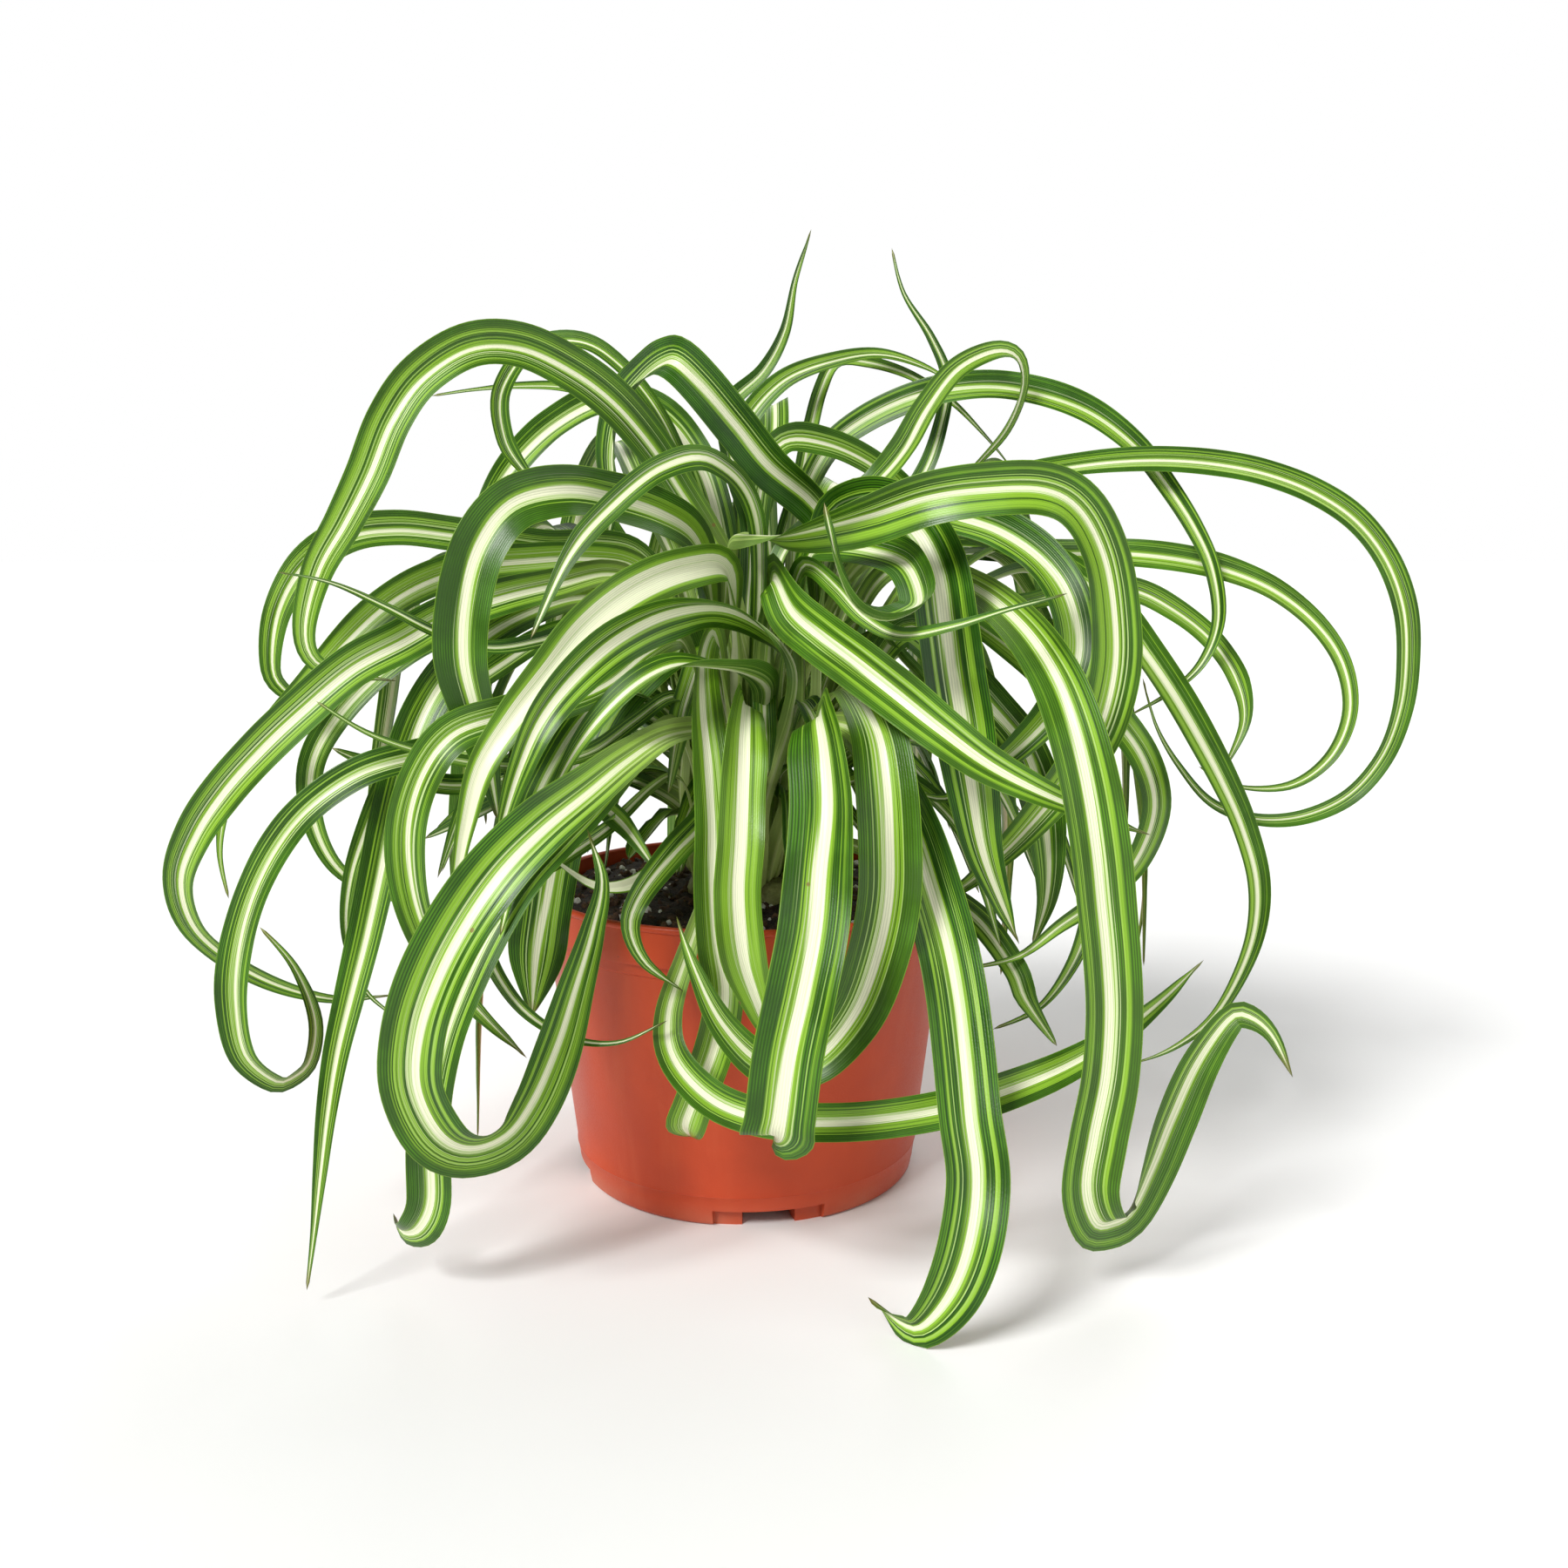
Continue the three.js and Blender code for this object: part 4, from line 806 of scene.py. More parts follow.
@dataclass
class Spine:
    """A leaf's middle line with its turning and width at each station."""

    centre: np.ndarray
    across: np.ndarray
    width: np.ndarray

    @classmethod
    def from_node(cls, node: bpy.types.Object, heart: np.ndarray) -> "Spine":
        """Reads a packed leaf: a chain of four-cornered rings from its foot to its tip.

        Args:
            node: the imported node's object.
            heart: the crown's middle.

        Returns:
            The spine.
        """
        mesh = node.data
        flat = np.empty(len(mesh.vertices) * 3, dtype=np.float64)
        mesh.vertices.foreach_get("co", flat)
        points, same = np.unique(np.round(flat.reshape(-1, 3), 6), axis=0, return_inverse=True)
        same = same.ravel()
        beside: list[set[int]] = [set() for _ in points]
        for face in mesh.polygons:
            corners = {int(same[v]) for v in face.vertices}
            for corner in corners:
                beside[corner] |= corners - {corner}
        first = int(np.argmin(np.linalg.norm(points - heart, axis=1)))
        ring = {int(i) for i in np.argsort(np.linalg.norm(points - points[first], axis=1))[:4]}
        rings, seen = [sorted(ring)], set(ring)
        while True:
            ring = set().union(*(beside[v] for v in ring)) - seen
            if not ring:
                break
            seen |= ring
            rings.append(sorted(ring))
        return cls.from_rings([points[r] for r in rings])

    @classmethod
    def from_rings(cls, rings: list[np.ndarray]) -> "Spine":
        """Finds each ring's two edges, and its upper side, which the edges stand towards.

        Args:
            rings: four corners for each station.

        Returns:
            The spine.
        """
        centres, acrosses, widths = [], [], []
        middles = np.array([ring.mean(axis=0) for ring in rings])
        ahead = unit(np.gradient(middles, axis=0))
        for ring, along in zip(rings, ahead):
            pairs = [(a, b) for a in range(4) for b in range(a + 1, 4)]
            left, right = max(pairs, key=lambda p: np.linalg.norm(ring[p[0]] - ring[p[1]]))
            ribs = [k for k in range(4) if k not in (left, right)]
            between = (ring[left] + ring[right]) / 2
            ribs.sort(key=lambda k: np.linalg.norm(ring[k] - between))
            face = ring[ribs[0]] - ring[ribs[1]]
            width = float(np.linalg.norm(ring[left] - ring[right]))
            across = np.cross(along, face)
            edge = ring[right] - ring[left]
            acrosses.append(edge / width * (1 if np.dot(edge, across) > 0 else -1))
            centres.append((between + ring[ribs].mean(axis=0)) / 2)
            widths.append(width)
        return cls(np.array(centres), np.array(acrosses), np.array(widths))

    @classmethod
    def from_route(cls, route: list[Point], width: float, facing: Point) -> "Spine":
        """A spine through given points.

        Args:
            route: points in millimetres from foot to tip.
            width: the greatest width in millimetres.
            facing: the way that the upper side turns.

        Returns:
            The spine.
        """
        fine = through(np.array(route, dtype=float) * MM, np.linspace(0, len(route) - 1, 8 * len(route)))
        along = unit(np.gradient(fine, axis=0))
        toward = np.array(facing, dtype=float)
        face = unit(toward - along * (along @ toward)[:, None])
        share = np.linspace(0, 1, len(fine))
        grow = np.interp(share, *WIDTH_ALONG)
        return cls(fine, unit(np.cross(along, face)), width * MM * grow)

    def resampled(self, step: float) -> tuple[np.ndarray, np.ndarray, np.ndarray, np.ndarray]:
        """Even, closely set stations.

        Args:
            step: the distance from one to the next.

        Returns:
            Centres, across directions, half widths and shares of the length.
        """
        fine_at = np.linspace(0, len(self.centre) - 1, 16 * len(self.centre))
        fine = through(self.centre, fine_at)
        run = np.concatenate([[0], np.cumsum(np.linalg.norm(np.diff(fine, axis=0), axis=1))])
        rows = max(FEWEST_STATIONS, int(run[-1] / step))
        at = np.interp(np.linspace(0, run[-1], rows), run, fine_at)
        width = through(self.width[:, None], at)[:, 0]
        across = unit(through(self.across, at))
        return through(self.centre, at), across, np.maximum(width, 0) / 2, np.linspace(0, 1, rows)


@dataclass
class Habit:
    """How one leaf is coloured and creased."""

    cream: float
    pale: float
    seed: float
    wave: float
    pitch: float


Span = tuple[float, float]
GOLDEN_ANGLE = math.pi * (3 - math.sqrt(5))
HEART_LEAVES = 14
FAR_LEAVES = 17
FAR_FROM, FAR_TO = -4.0, 184.0  # bearings in degrees that the back leaves share out
FOOT = Vector((4, -6, 108))  # where the rule-made leaves rise from, in millimetres
BACK_AXIS = (4, -12)  # the upright line that the back leaves bend away from, in millimetres
PARTING = 150  # the height where the back leaves part from the bundle, in millimetres
LOWEST_TIP = 22  # the lowest that a back leaf's tip comes, in millimetres


@dataclass(frozen=True)
class ArchRule:
    """How a set of small arched leaves is shared out and shaped, in degrees and millimetres."""

    count: int
    seed: int
    sectors: tuple[Span, ...]
    jitter: float
    aside: float
    reach: Span
    peak: Span
    end: Span
    width: Span
    foot_radius: float
    runs: tuple[float, float, float]
    lifts: Span
    face_out: float
    face_rest: Point


LOW_ARCHES = ArchRule(count=16, seed=21, sectors=((148, 232), (-48, 60)), jitter=4, aside=18, reach=(66, 112),
                      peak=(142, 184), end=(-8, 22), width=(7, 10.5), foot_radius=13, runs=(0.16, 0.5, 0.82),
                      lifts=(0.7, 0.66), face_out=0.5, face_rest=(0, -0.5, 0.8))
COLLAR_ARCHES = ArchRule(count=11, seed=11, sectors=((178, 352),), jitter=5, aside=16, reach=(34, 50),
                         peak=(136, 164), end=(6, 16), width=(7, 10), foot_radius=12, runs=(0.2, 0.55, 0.86),
                         lifts=(0.75, 0.72), face_out=0.6, face_rest=(0, 0, 0.8))
TO_FRONT: Point = (0.0, -1.0, 0.35)

# The share of the half width that is cream, and how pale the rest is, of the leaves that are mostly cream.
MOSTLY_CREAM: dict[str, tuple[float, float]] = {
    "blade_white_rim_curl": (0.8, 0.7),
    "blade_pale_left_arch": (0.55, 0.6),
    "blade_hanging_pale_centre": (0.24, 0.8),
    "blade_hanging_left_centre": (0.2, 0.6),
    "blade_hanging_front_centre": (0.19, 0.12),
    "blade_right_hanging_fold": (0.16, 0.3),
    "blade_front_right_long": (0.13, 0.05),
    "blade_front_left_big": (0.14, 0.1),
}

# Width, facing and route in millimetres of the small leaves that fill the tuft.
FINE_LEAVES: dict[str, tuple[float, Point, list[Point]]] = {
    "dark_top_left": (9, TO_FRONT, [
        (2, -14, 112), (4, -26, 180), (5, -38, 235), (-8, -52, 254), (-24, -60, 252), (-40, -68, 239),
        (-52, -75, 224), (-63, -82, 200)]),
    "right_shoulder": (9.5, TO_FRONT, [
        (8, -8, 112), (12, -12, 170), (60, -4, 203), (101, 0, 208), (120, 4, 213), (140, 8, 212),
        (155, 8, 205), (169, 6, 194), (178, 2, 180), (180, -2, 165), (172, -6, 148)]),
    "mid_back_arch": (11.5, TO_FRONT, [
        (4, 2, 112), (5, 6, 180), (5, 14, 240), (12, 22, 264), (30, 28, 265), (50, 34, 256), (67, 38, 239),
        (78, 42, 216)]),
    "upper_left_curl": (7.5, TO_FRONT, [
        (0, -2, 112), (-4, 2, 190), (-24, 8, 262), (-50, 14, 296), (-74, 18, 299), (-88, 21, 284),
        (-88, 22, 267), (-81, 20, 255), (-71, 16, 245)]),
    "left_low_tip": (8, TO_FRONT, [
        (-6, -8, 111), (-20, -10, 140), (-60, -12, 152), (-92, -14, 145), (-108, -22, 146), (-125, -34, 154),
        (-138, -40, 161)]),
    "pot_right_end": (9, TO_FRONT, [
        (14, -12, 111), (34, -30, 126), (60, -52, 118), (77, -63, 108), (88, -72, 94), (92, -76, 84),
        (103, -70, 67)]),
    "left_fold": (8.5, TO_FRONT, [
        (-6, -8, 111), (-16, -14, 150), (-38, -26, 172), (-59, -40, 160), (-48, -58, 148), (-36, -70, 139),
        (-26, -80, 128)]),
}


def compass(bearing: float) -> tuple[Vector, Vector]:
    """The level directions outward and aside at a bearing in radians."""
    outward = Vector((math.cos(bearing), math.sin(bearing), 0))
    return outward, Vector((-outward.y, outward.x, 0))


@dataclass
class Foliage:
    """Every leaf of the plant."""

    tree: bpy.types.NodeTree
    heart: np.ndarray
    station_step: float = 2.4 * MM
    columns: int = 15
    thickness: float = 0.5 * MM
    fold: float = 0.24
    foot_fold: float = 0.6
    foot_share: float = 0.3
    pieces: list[tuple[bpy.types.Object, str | None]] = field(default_factory=list)

    def habit(self, name: str) -> Habit:
        """The colouring of a leaf, the same each run.

        Args:
            name: the leaf's name.

        Returns:
            Its habit.
        """
        dice = random.Random(name)
        habit = Habit(dice.uniform(0.09, 0.2), dice.uniform(0.0, 0.3), dice.uniform(0, 90),
                      dice.uniform(0.5, 1.2), dice.uniform(5, 10))
        if name in MOSTLY_CREAM:
            habit.cream, habit.pale = MOSTLY_CREAM[name]
        return habit

    def spine_piece(self, name: str, spine: Spine, stands_for: str | None) -> None:
        """Makes a leaf's spine and puts the blade tree on it.

        Args:
            name: the piece's name.
            spine: the leaf's middle line.
            stands_for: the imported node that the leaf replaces, if any.
        """
        habit = self.habit(name)
        centre, across, half, share = spine.resampled(self.station_step)
        along = unit(np.gradient(centre, axis=0))
        across = unit(across - along * np.sum(across * along, axis=1)[:, None])
        face = np.cross(across, along)
        thick = np.ones(len(share))
        thick[[0, -1]] = 0
        half = np.where(thick > 0, half, 0)
        slow = np.array([noise.noise(Vector((s * 5, habit.seed, 0))) for s in share])
        tight = np.clip(1 - share / self.foot_share, 0, 1) ** 1.5
        fold = self.fold + (self.foot_fold - self.fold) * tight + 0.08 * slow
        rows = len(share)
        mesh = bpy.data.meshes.new(name)
        mesh.from_pydata([tuple(c) for c in centre], [], [])
        marks = {"half": half, "thick": thick, "fold": fold, "share": share}
        for label, values in marks.items():
            store = mesh.attributes.new(label, "FLOAT", "POINT")
            store.data.foreach_set("value", np.asarray(values, np.float32))
        tints = np.tile([habit.cream, habit.pale, habit.seed], (rows, 1))
        for label, values in {"across": across, "face": face, "habit": tints}.items():
            store = mesh.attributes.new(label, "FLOAT_VECTOR", "POINT")
            store.data.foreach_set("vector", np.asarray(values, np.float32).ravel())
        piece = bpy.data.objects.new(name, mesh)
        bpy.context.scene.collection.objects.link(piece)
        add_tree(piece, self.tree, {
            "Columns": self.columns, "Thickness": self.thickness, "Wave": habit.wave,
            "Wave Pitch": habit.pitch, "Seed": habit.seed,
        })
        self.pieces.append((piece, stands_for))

    def build(self) -> None:
        """Makes every leaf's spine."""
        for node_name in sorted(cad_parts):
            if node_name.startswith("leaf_"):
                spine = Spine.from_node(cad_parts[node_name], self.heart)
                self.spine_piece(node_name.replace("leaf_", "blade_"), spine, node_name)
        for name, (width, facing, route) in FINE_LEAVES.items():
            self.spine_piece("blade_" + name, Spine.from_route(route, width, facing), None)
        by_rule = {"heart": self.heart_leaves(), "low": self.arched_leaves(LOW_ARCHES),
                   "far": self.far_leaves(), "collar": self.arched_leaves(COLLAR_ARCHES)}
        for kind, spines in by_rule.items():
            for number, spine in enumerate(spines):
                self.spine_piece(f"blade_{kind}_{number}", spine, None)

    def arched_leaves(self, rule: ArchRule) -> list[Spine]:
        """Small leaves that arch low, shared out over sectors.

        Args:
            rule: how many there are, where, and how they arch.

        Returns:
            Their spines.
        """
        dice = random.Random(rule.seed)
        sectors = len(rule.sectors)
        spines = []
        for number in range(rule.count):
            first, last = rule.sectors[number % sectors]
            share = (number // sectors + 0.5) / math.ceil(rule.count / sectors)
            bearing = math.radians(first + (last - first) * share + dice.uniform(-rule.jitter, rule.jitter))
            outward, level = compass(bearing)
            aside = level * dice.uniform(-rule.aside, rule.aside)
            reach, peak = dice.uniform(*rule.reach), dice.uniform(*rule.peak)
            start = FOOT + outward * rule.foot_radius
            rise = peak - FOOT.z
            route = [start]
            for run, lean, lift in zip(rule.runs, (0, 0.3, 0.7), (rule.lifts[0], 1, rule.lifts[1])):
                route.append(start + outward * reach * run + aside * lean + Vector((0, 0, rise * lift)))
            route.append(start + outward * reach + aside + Vector((0, 0, dice.uniform(*rule.end))))
            facing = tuple(outward * rule.face_out + Vector(rule.face_rest))
            spines.append(Spine.from_route([tuple(p) for p in route], dice.uniform(*rule.width), facing))
        return spines

    def far_leaves(self) -> list[Spine]:
        """Long leaves that arch over the back, so that the tuft is as full there as at the front.

        Returns:
            Their spines.
        """
        dice = random.Random(5)
        spines = []
        for number in range(FAR_LEAVES):
            share_out = (FAR_TO - FAR_FROM) * (number + 0.5) / FAR_LEAVES
            outward, level = compass(math.radians(FAR_FROM + share_out + dice.uniform(-5, 5)))
            aside = level * dice.uniform(-26, 26)
            reach, peak = dice.uniform(88, 150), dice.uniform(188, 262)
            end = peak - dice.uniform(70, 175)
            route = [FOOT + outward * 12, Vector((*BACK_AXIS, PARTING)) + outward * 13]
            for step in (0.16, 0.34, 0.52, 0.7, 0.86, 1.0):
                out = 14 + (reach - 14) * math.sin(step * math.pi / 2)
                rise = math.sin(min(step / 0.5, 1) * math.pi / 2)
                fall = max(0.0, (step - 0.4) / 0.6) ** 1.6
                height = PARTING + (peak - PARTING) * rise - (peak - max(end, LOWEST_TIP)) * fall
                route.append(Vector((*BACK_AXIS, height)) + outward * out + aside * step**2)
            facing = tuple(outward * 0.45 + Vector((0, 0, 1)))
            spines.append(Spine.from_route([tuple(p) for p in route], dice.uniform(9, 15), facing))
        return spines

    def heart_leaves(self) -> list[Spine]:
        """Short young leaves set round the crown at the turning of a growing shoot.

        Returns:
            Their spines.
        """
        dice = random.Random(7)
        spines = []
        for number in range(HEART_LEAVES):
            outward, _ = compass(number * GOLDEN_ANGLE)
            reach, peak = dice.uniform(34, 62), dice.uniform(160, 215)
            start = FOOT + outward * 9
            top = start + outward * reach * 0.55 + Vector((0, 0, peak - FOOT.z))
            route = [start, start.lerp(top, 0.45) - outward * 5, top,
                     top + outward * reach * 0.45 - Vector((0, 0, 14)),
                     top + outward * reach * 0.75 - Vector((0, 0, dice.uniform(28, 52)))]
            facing = tuple(-outward * 0.4 + Vector((0, 0, 1)))
            spines.append(Spine.from_route([tuple(p) for p in route], dice.uniform(8, 11.5), facing))
        return spines

    def settle(self) -> None:
        """Turns the spines into blades and declares each one."""
        freeze([piece for piece, _ in self.pieces])
        for piece, node in self.pieces:
            settle(piece, Slot.LEAF, *([node] if node else []))


# ---------------------------------------------------------------------------
# Pot, potting mix and crown
# ---------------------------------------------------------------------------
@dataclass
class NurseryPot:
    """The tapered pot: a banded rim with a thin lip, a moulding line and four drainage notches."""

    rim_radius: float
    height: float
    finish: PotFinish = PotFinish()
    base_radius: float = 61.9 * MM
    wall: float = 1.7 * MM
    band_height: float = 14 * MM
    band_step: float = 2.2 * MM
    lip_height: float = 2.2 * MM
    lip_out: float = 0.9 * MM
    mould_line: float = 11 * MM
    foot_height: float = 7 * MM
    foot_thickness: float = 5 * MM
    floor: float = 2.4 * MM
    notch_bearing: float = math.radians(-81.5)
    sides: int = 224

    def wall_radius(self, height: float) -> float:
        """The plain wall's outer radius at a height."""
        top = self.rim_radius - self.lip_out - self.band_step
        return self.base_radius + (top - self.base_radius) * height / (self.height - self.band_height)

    def profile(self) -> list[tuple[float, float]]:
        """The turned section.

        Returns:
            Radius and height, from the axis under the base round to the axis inside.
        """
        top, band = self.height, self.rim_radius - self.lip_out
        low = top - self.band_height
        line, wall_at = self.mould_line, self.wall_radius
        foot = self.base_radius - self.foot_thickness
        points = [(0, 0.6 * MM), (foot - 4 * MM, 0.6 * MM), (foot - 3 * MM, 0)]
        for k in range(5):
            angle = k / 4 * math.pi / 2
            points.append((self.base_radius - 2 * MM * (1 - math.sin(angle)), 2 * MM * (1 - math.cos(angle))))
        points += [(wall_at(h), h) for h in (4.5 * MM, 7.5 * MM, line - 0.5 * MM)]
        points += [(wall_at(line) + 0.28 * MM, line), (wall_at(line) + 0.05 * MM, line + 0.5 * MM)]
        points += [(wall_at(low * k / 6), low * k / 6) for k in range(2, 6)]
        under = low - 4.2 * MM
        points += [(wall_at(under), under), (wall_at(under) + 0.7 * MM, under + 0.5 * MM),
                   (wall_at(low) + 0.6 * MM, low - 0.25 * MM), (band - 0.7 * MM, low),
                   (band - 0.15 * MM, low + 0.2 * MM),
                   (band, low + 0.8 * MM), (band, low + 5 * MM), (band, top - self.lip_height - 0.3 * MM)]
        lip = top - self.lip_height
        for k in range(9):
            angle = -math.pi / 2 + k / 8 * math.pi
            points.append((self.rim_radius - self.lip_height / 2 * (1 - math.cos(angle)) * 0.8,
                           lip + self.lip_height / 2 * (1 + math.sin(angle))))
        inner = band - self.wall
        points += [(inner + 0.5 * MM, top - 0.05 * MM), (inner, top - 0.6 * MM), (inner, low + 2 * MM),
                   (wall_at(low) - self.wall, low), (wall_at(low / 2) - self.wall, low / 2),
                   (wall_at(9 * MM) - self.wall, self.foot_height + 2 * MM), (foot, self.foot_height),
                   (foot, self.floor + 0.5 * MM), (foot - 0.5 * MM, self.floor), (0, self.floor)]
        return points

    def notch_cutter(self) -> bpy.types.Object:
        """The wedges that are cut out of the bottom edge: four wide shallow recesses with a gap in each.

        Returns:
            One object that holds the eight wedges.
        """
        verts, faces = [], []
        for quarter in range(4):
            bearing = self.notch_bearing + quarter * math.pi / 2
            for wide, high, deep in ((36, 5.8, 2.2), (17.5, 5.4, 12)):
                self.wedge(verts, faces, bearing, math.radians(wide), high * MM, deep * MM)
        return new_piece("notch_cutter", verts, faces, bpy.data.materials[0])

    def wedge(self, verts: list, faces: list, bearing: float, wide: float, high: float, deep: float) -> None:
        """Adds one closed wedge to lists of points and faces.

        Args:
            verts: points so far.
            faces: faces so far.
            bearing: the wedge's middle.
            wide: its angle.
            high: its top.
            deep: how far it goes in from the base radius.
        """
        steps, start = 10, len(verts)
        for k in range(steps + 1):
            angle = bearing + wide * (k / steps - 0.5)
            for radius in (self.base_radius - deep, self.base_radius + 4 * MM):
                for height in (-2 * MM, high):
                    verts.append((radius * math.cos(angle), radius * math.sin(angle), height))
        for k in range(steps):
            a, b = start + 4 * k, start + 4 * (k + 1)
            faces += [[a, a + 1, b + 1, b], [a + 2, b + 2, b + 3, a + 3], [a, b, b + 2, a + 2],
                      [a + 1, a + 3, b + 3, b + 1]]
        end = start + 4 * steps
        faces += [[start, start + 2, start + 3, start + 1], [end, end + 1, end + 3, end + 2]]

    def build(self, effects: Effects) -> bpy.types.Object:
        """Makes the pot.

        Args:
            effects: the shared node groups.

        Returns:
            The finished piece.
        """
        material = self.finish.build(effects)
        verts, faces = lathe(self.profile(), self.sides)
        pot = new_piece("pot_shell", verts, faces, material)
        cutter = self.notch_cutter()
        cutter.data.materials[0] = material
        cut = pot.modifiers.new("notches", "BOOLEAN")
        cut.operation, cut.object, cut.solver = "DIFFERENCE", cutter, "EXACT"
        cut.use_self = True
        freeze([pot])
        bpy.data.objects.remove(cutter)
        pot.data.shade_smooth()
        pot.data.set_sharp_from_angle(angle=math.radians(38))
        return pot


@dataclass
class PottingMix:
    """The dark open mix at the top of the pot, with perlite and bark strewn over it."""

    radius: float
    edge_top: float
    mound: float = 3 * MM
    depth: float = 26 * MM
    strew_depth: float = 4 * MM
    rings: int = 64
    sides: int = 150
    mix: CrumbFinish = CrumbFinish("potting_mix_dark", (0.010, 0.006, 0.004), (0.055, 0.032, 0.018),
                                   (0.12, 0.085, 0.055), scale=420.0, depth=0.9)
    bark: CrumbFinish = CrumbFinish("bark_brown", (0.030, 0.015, 0.008), (0.15, 0.075, 0.035),
                                    (0.23, 0.14, 0.08), scale=300.0, fleck_share=0.2, depth=0.4)
    perlite: CrumbFinish = CrumbFinish("perlite_white", (0.60, 0.57, 0.52), (0.86, 0.85, 0.81),
                                       (0.36, 0.31, 0.25), scale=500.0, fleck_share=0.06, depth=0.35)

    def top_at(self, x: float, y: float) -> float:
        """The lumpy surface's height at a place."""
        share = min(1.0, math.hypot(x, y) / self.radius)
        lumps = noise.fractal(Vector((x, y, 0)) * 95, 0.9, 2.1, 4) * 1.5 * MM
        crumbs = noise.noise(Vector((x, y, 5)) * 620) * 0.7 * MM
        return self.edge_top + self.mound * (1 - share**2) + lumps + crumbs

    def build(self, effects: Effects) -> list[bpy.types.Object]:
        """Makes the mix, the perlite and the bark.

        Args:
            effects: the shared node groups.

        Returns:
            The three pieces.
        """
        bottom = self.edge_top - self.depth
        steps = [(self.radius * k / self.rings, 0.0) for k in range(self.rings, 0, -1)]
        profile = [(0.0, bottom), (self.radius - 2 * MM, bottom), *steps, (0.0, 0.0)]
        verts, faces = lathe(profile, self.sides)
        lifted = [(x, y, self.top_at(x, y) if z == 0.0 else z) for x, y, z in verts]
        mix = new_piece("mix_surface", lifted, faces, self.mix.build(effects))
        pieces = [mix]
        for name, finish, values in (
            ("perlite_grains", self.perlite, {"Per Area": 10000.0, "Seed": 4, "Smallest": 0.5 * MM,
                                              "Largest": 1.9 * MM, "Flatness": 0.8}),
            ("bark_crumbs", self.bark, {"Per Area": 42000.0, "Seed": 9, "Smallest": 0.7 * MM,
                                        "Largest": 2.5 * MM, "Flatness": 0.45}),
        ):
            values["Lowest"] = self.edge_top - self.strew_depth
            grains = bpy.data.objects.new(name, mix.data.copy())
            bpy.context.scene.collection.objects.link(grains)
            add_tree(grains, scatter_tree(name + "_tree", finish.build(effects)), values)
            freeze([grains])
            pieces.append(grains)
        return pieces


@dataclass
class Crown:
    """The low fleshy crown that the leaves rise from, pleated by their wrapped bases."""

    at: tuple[float, float]
    radius: float
    bottom: float
    top: float
    pleats: int = 13
    dome_steps: int = 14
    sides: int = 156
    finish: CrumbFinish = CrumbFinish("crown_flesh", (0.20, 0.19, 0.06), (0.48, 0.50, 0.20),
                                      (0.13, 0.07, 0.03), scale=180.0, fleck_share=0.1, depth=0.3,
                                      gloss=(0.45, 0.65))

    def build(self, effects: Effects) -> bpy.types.Object:
        """Makes the crown.

        Args:
            effects: the shared node groups.

        Returns:
            The finished piece.
        """
        rise = self.top - self.bottom
        profile = [(0.0, self.bottom - 6 * MM), (self.radius * 0.94, self.bottom - 6 * MM)]
        for k in range(self.dome_steps):
            angle = k / self.dome_steps * math.pi / 2
            profile.append((self.radius * math.cos(angle), self.bottom + rise * math.sin(angle)))
        profile.append((0.0, self.top))

        def pleated(radius: float, height: float, bearing: float) -> float:
            """The radius with the wrapped bases' ridges."""
            twist = bearing * self.pleats + height * 160
            return radius * (0.94 + 0.05 * abs(math.sin(twist / 2)) + 0.02 * math.sin(bearing * 5))

        verts, faces = lathe(profile, self.sides, pleated)
        moved = [(x + self.at[0], y + self.at[1], z) for x, y, z in verts]
        return new_piece("crown_heart", moved, faces, self.finish.build(effects))


# ---------------------------------------------------------------------------
# Studio
# ---------------------------------------------------------------------------
@dataclass
class SoftLight:
    """One broad soft light that falls evenly over the object and the floor."""

    name: str
    source: Point
    spread: float
    strength: float

    def build(self) -> None:
        """Makes the light and turns it away from its source."""
        lamp = bpy.data.lights.new(self.name, "SUN")
        lamp.angle, lamp.energy = math.radians(self.spread), self.strength
        holder = bpy.data.objects.new(self.name, lamp)
        holder.location = self.source
        holder.rotation_euler = (-Vector(self.source)).to_track_quat("-Z", "Y").to_euler()
        bpy.context.scene.collection.objects.link(holder)


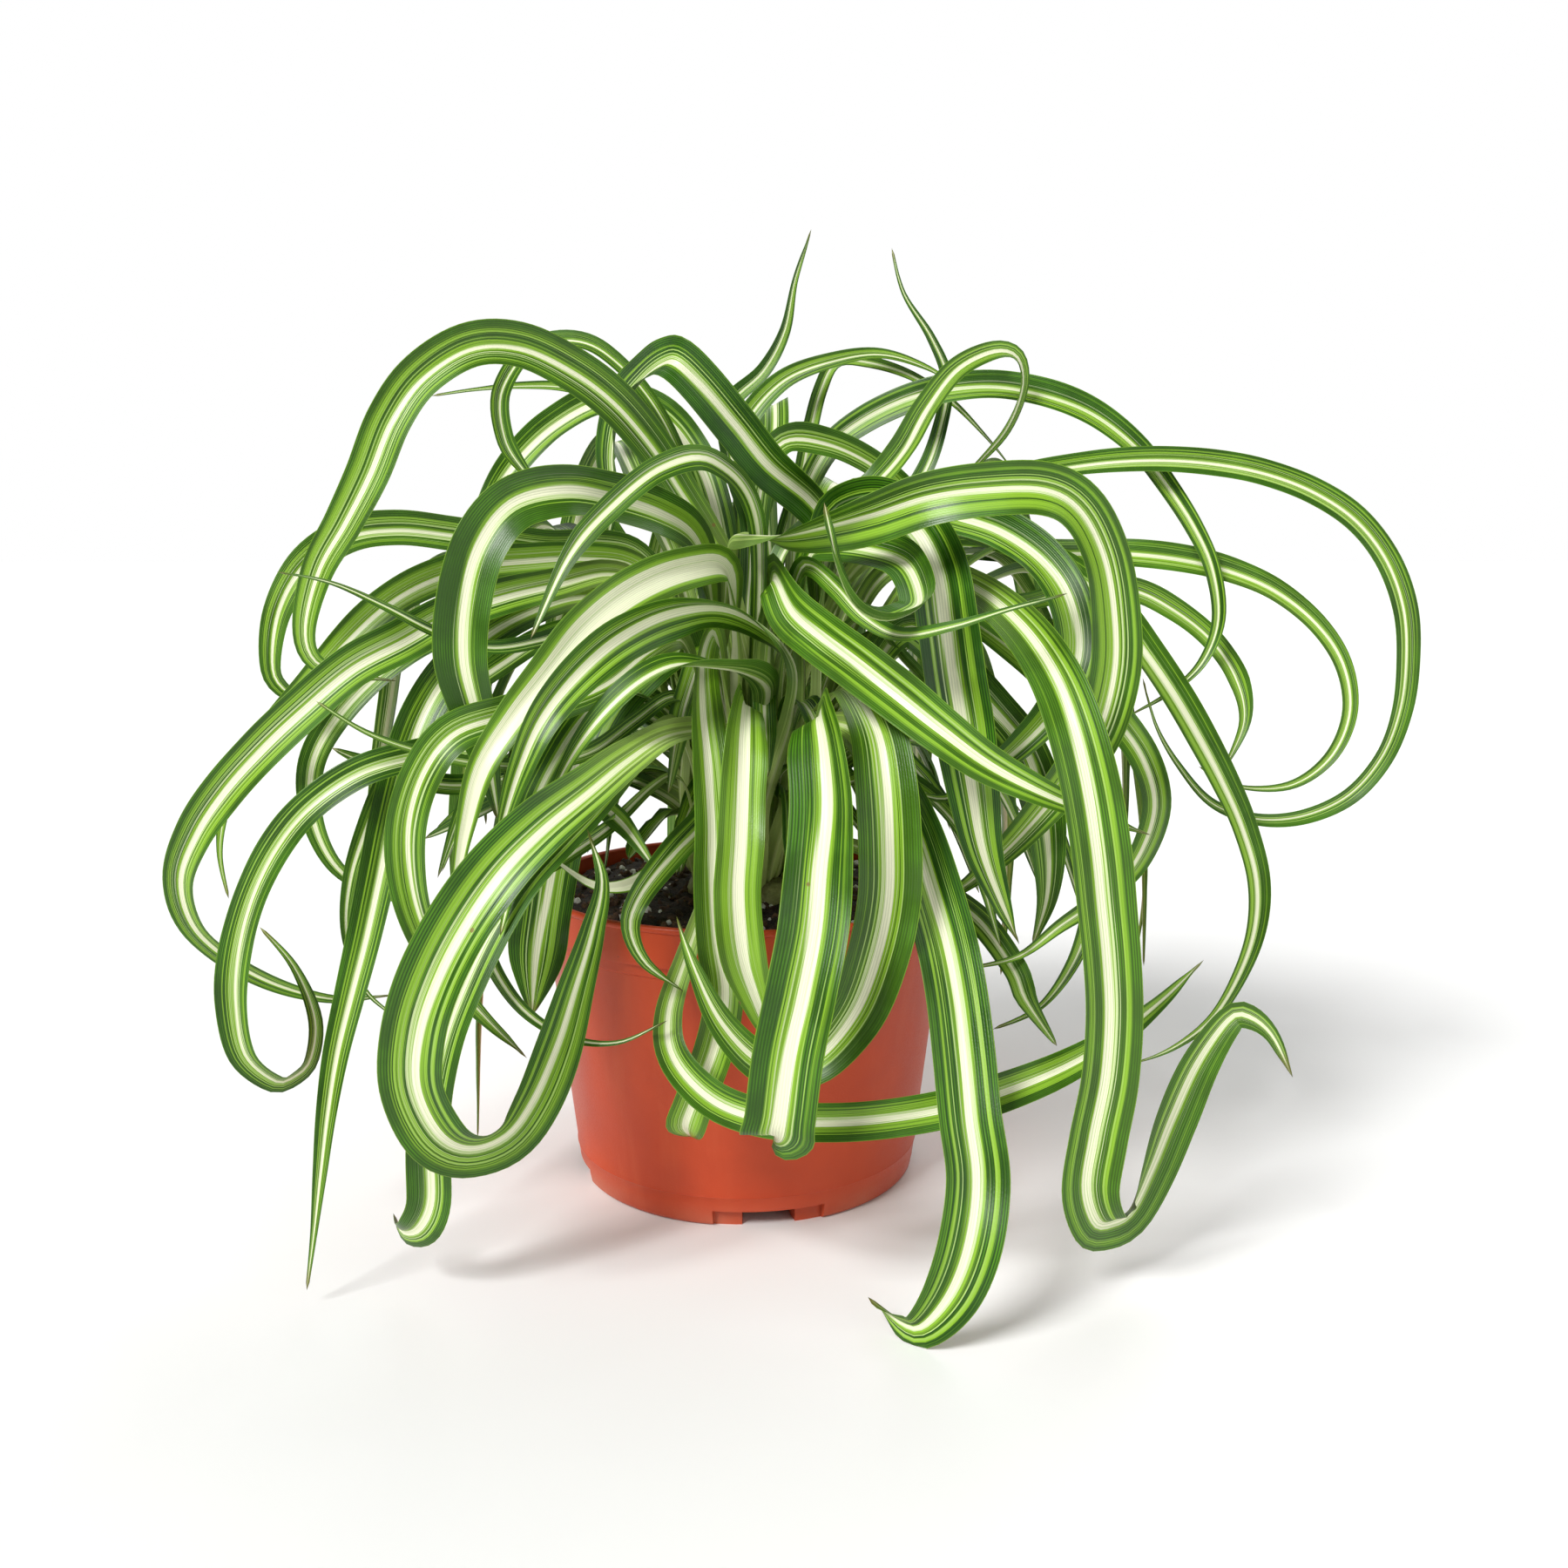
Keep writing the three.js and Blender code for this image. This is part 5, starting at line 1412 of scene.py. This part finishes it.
@dataclass
class Studio:
    """Camera, floor and light."""

    camera_at: Point = (0.014, -0.534, 0.230)
    pitch_down: float = 9.35
    lens: float = 34.1
    ambient: float = 0.24
    floor_size: float = 30.0
    lights: tuple[SoftLight, ...] = (
        SoftLight("key", (-0.85, -0.9, 1.15), 22.0, 3.25),
        SoftLight("fill", (1.0, -0.9, 0.6), 45.0, 0.6),
        SoftLight("back", (0.3, 1.0, 1.1), 45.0, 1.0),
    )

    def build(self, effects: Effects) -> None:
        """Sets up the studio.

        Args:
            effects: the shared node groups.
        """
        camera = bpy.data.objects.new("camera", bpy.data.cameras.new("camera"))
        camera.location = self.camera_at
        camera.rotation_euler = (math.radians(90 - self.pitch_down), 0, 0)
        camera.data.lens, camera.data.sensor_width = self.lens, 36.0
        camera.data.clip_start = 0.02
        bpy.context.scene.collection.objects.link(camera)
        bpy.context.scene.camera = camera
        bpy.context.scene.view_settings.view_transform = "Standard"
        half = self.floor_size / 2
        corners = [(-half, -half, 0), (half, -half, 0), (half, half, 0), (-half, half, 0)]
        new_piece("floor", corners, [[0, 1, 2, 3]], FloorFinish().build(effects))
        for light in self.lights:
            light.build()
        world = bpy.data.worlds.new("studio")
        bpy.context.scene.world = world
        world.use_nodes = True
        w = NodeWriter(world.node_tree)
        w.tree.nodes.clear()
        seen = w.add("ShaderNodeLightPath").outputs["Is Camera Ray"]
        strength = w.math("MULTIPLY_ADD", seen, 1.0 - self.ambient, self.ambient)
        sky = w.add("ShaderNodeBackground", {"Color": (1.0, 1.0, 1.0), "Strength": strength})
        w.feed(w.add("ShaderNodeOutputWorld").inputs["Surface"], sky.outputs[0])


MIX_BELOW_RIM = 6 * MM
MIX_GAP = 0.3 * MM  # between the mix and the pot's wall


def main() -> None:
    """Builds every piece in order."""
    logging.basicConfig(level=logging.INFO, format="%(message)s")
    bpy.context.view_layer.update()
    effects = Effects()
    Studio().build(effects)

    low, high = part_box("nursery_pot")
    pot = NurseryPot(rim_radius=(high[0] - low[0]) / 2, height=high[2])
    settle(pot.build(effects), Slot.POT, "nursery_pot")

    mix_top = high[2] - MIX_BELOW_RIM
    mix = PottingMix(radius=pot.wall_radius(mix_top) - pot.wall - MIX_GAP, edge_top=mix_top)
    surface, *grains = mix.build(effects)
    settle(surface, Slot.SOIL, "potting_mix")
    for piece in grains:
        settle(piece, Slot.SOIL)

    low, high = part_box("crown")
    middle = ((low[0] + high[0]) / 2, (low[1] + high[1]) / 2)
    crown = Crown(at=middle, radius=(high[0] - low[0]) / 2, bottom=low[2], top=high[2])
    settle(crown.build(effects), Slot.CROWN, "crown")

    upper = LeafFinish("leaf_upper", (0.012, 0.064, 0.0004), (0.064, 0.230, 0.002), (0.27, 0.50, 0.03),
                       (0.88, 0.90, 0.63)).build(effects)
    under = LeafFinish("leaf_under", (0.038, 0.125, 0.004), (0.095, 0.26, 0.013), (0.32, 0.50, 0.08),
                       (0.82, 0.85, 0.57), gloss=(0.45, 0.6), bump=0.45).build(effects)
    foliage = Foliage(blade_tree(upper, under), heart=np.array([*middle, (low[2] + high[2]) / 2]))
    foliage.build()
    foliage.settle()


if __name__ == "__main__":
    main()
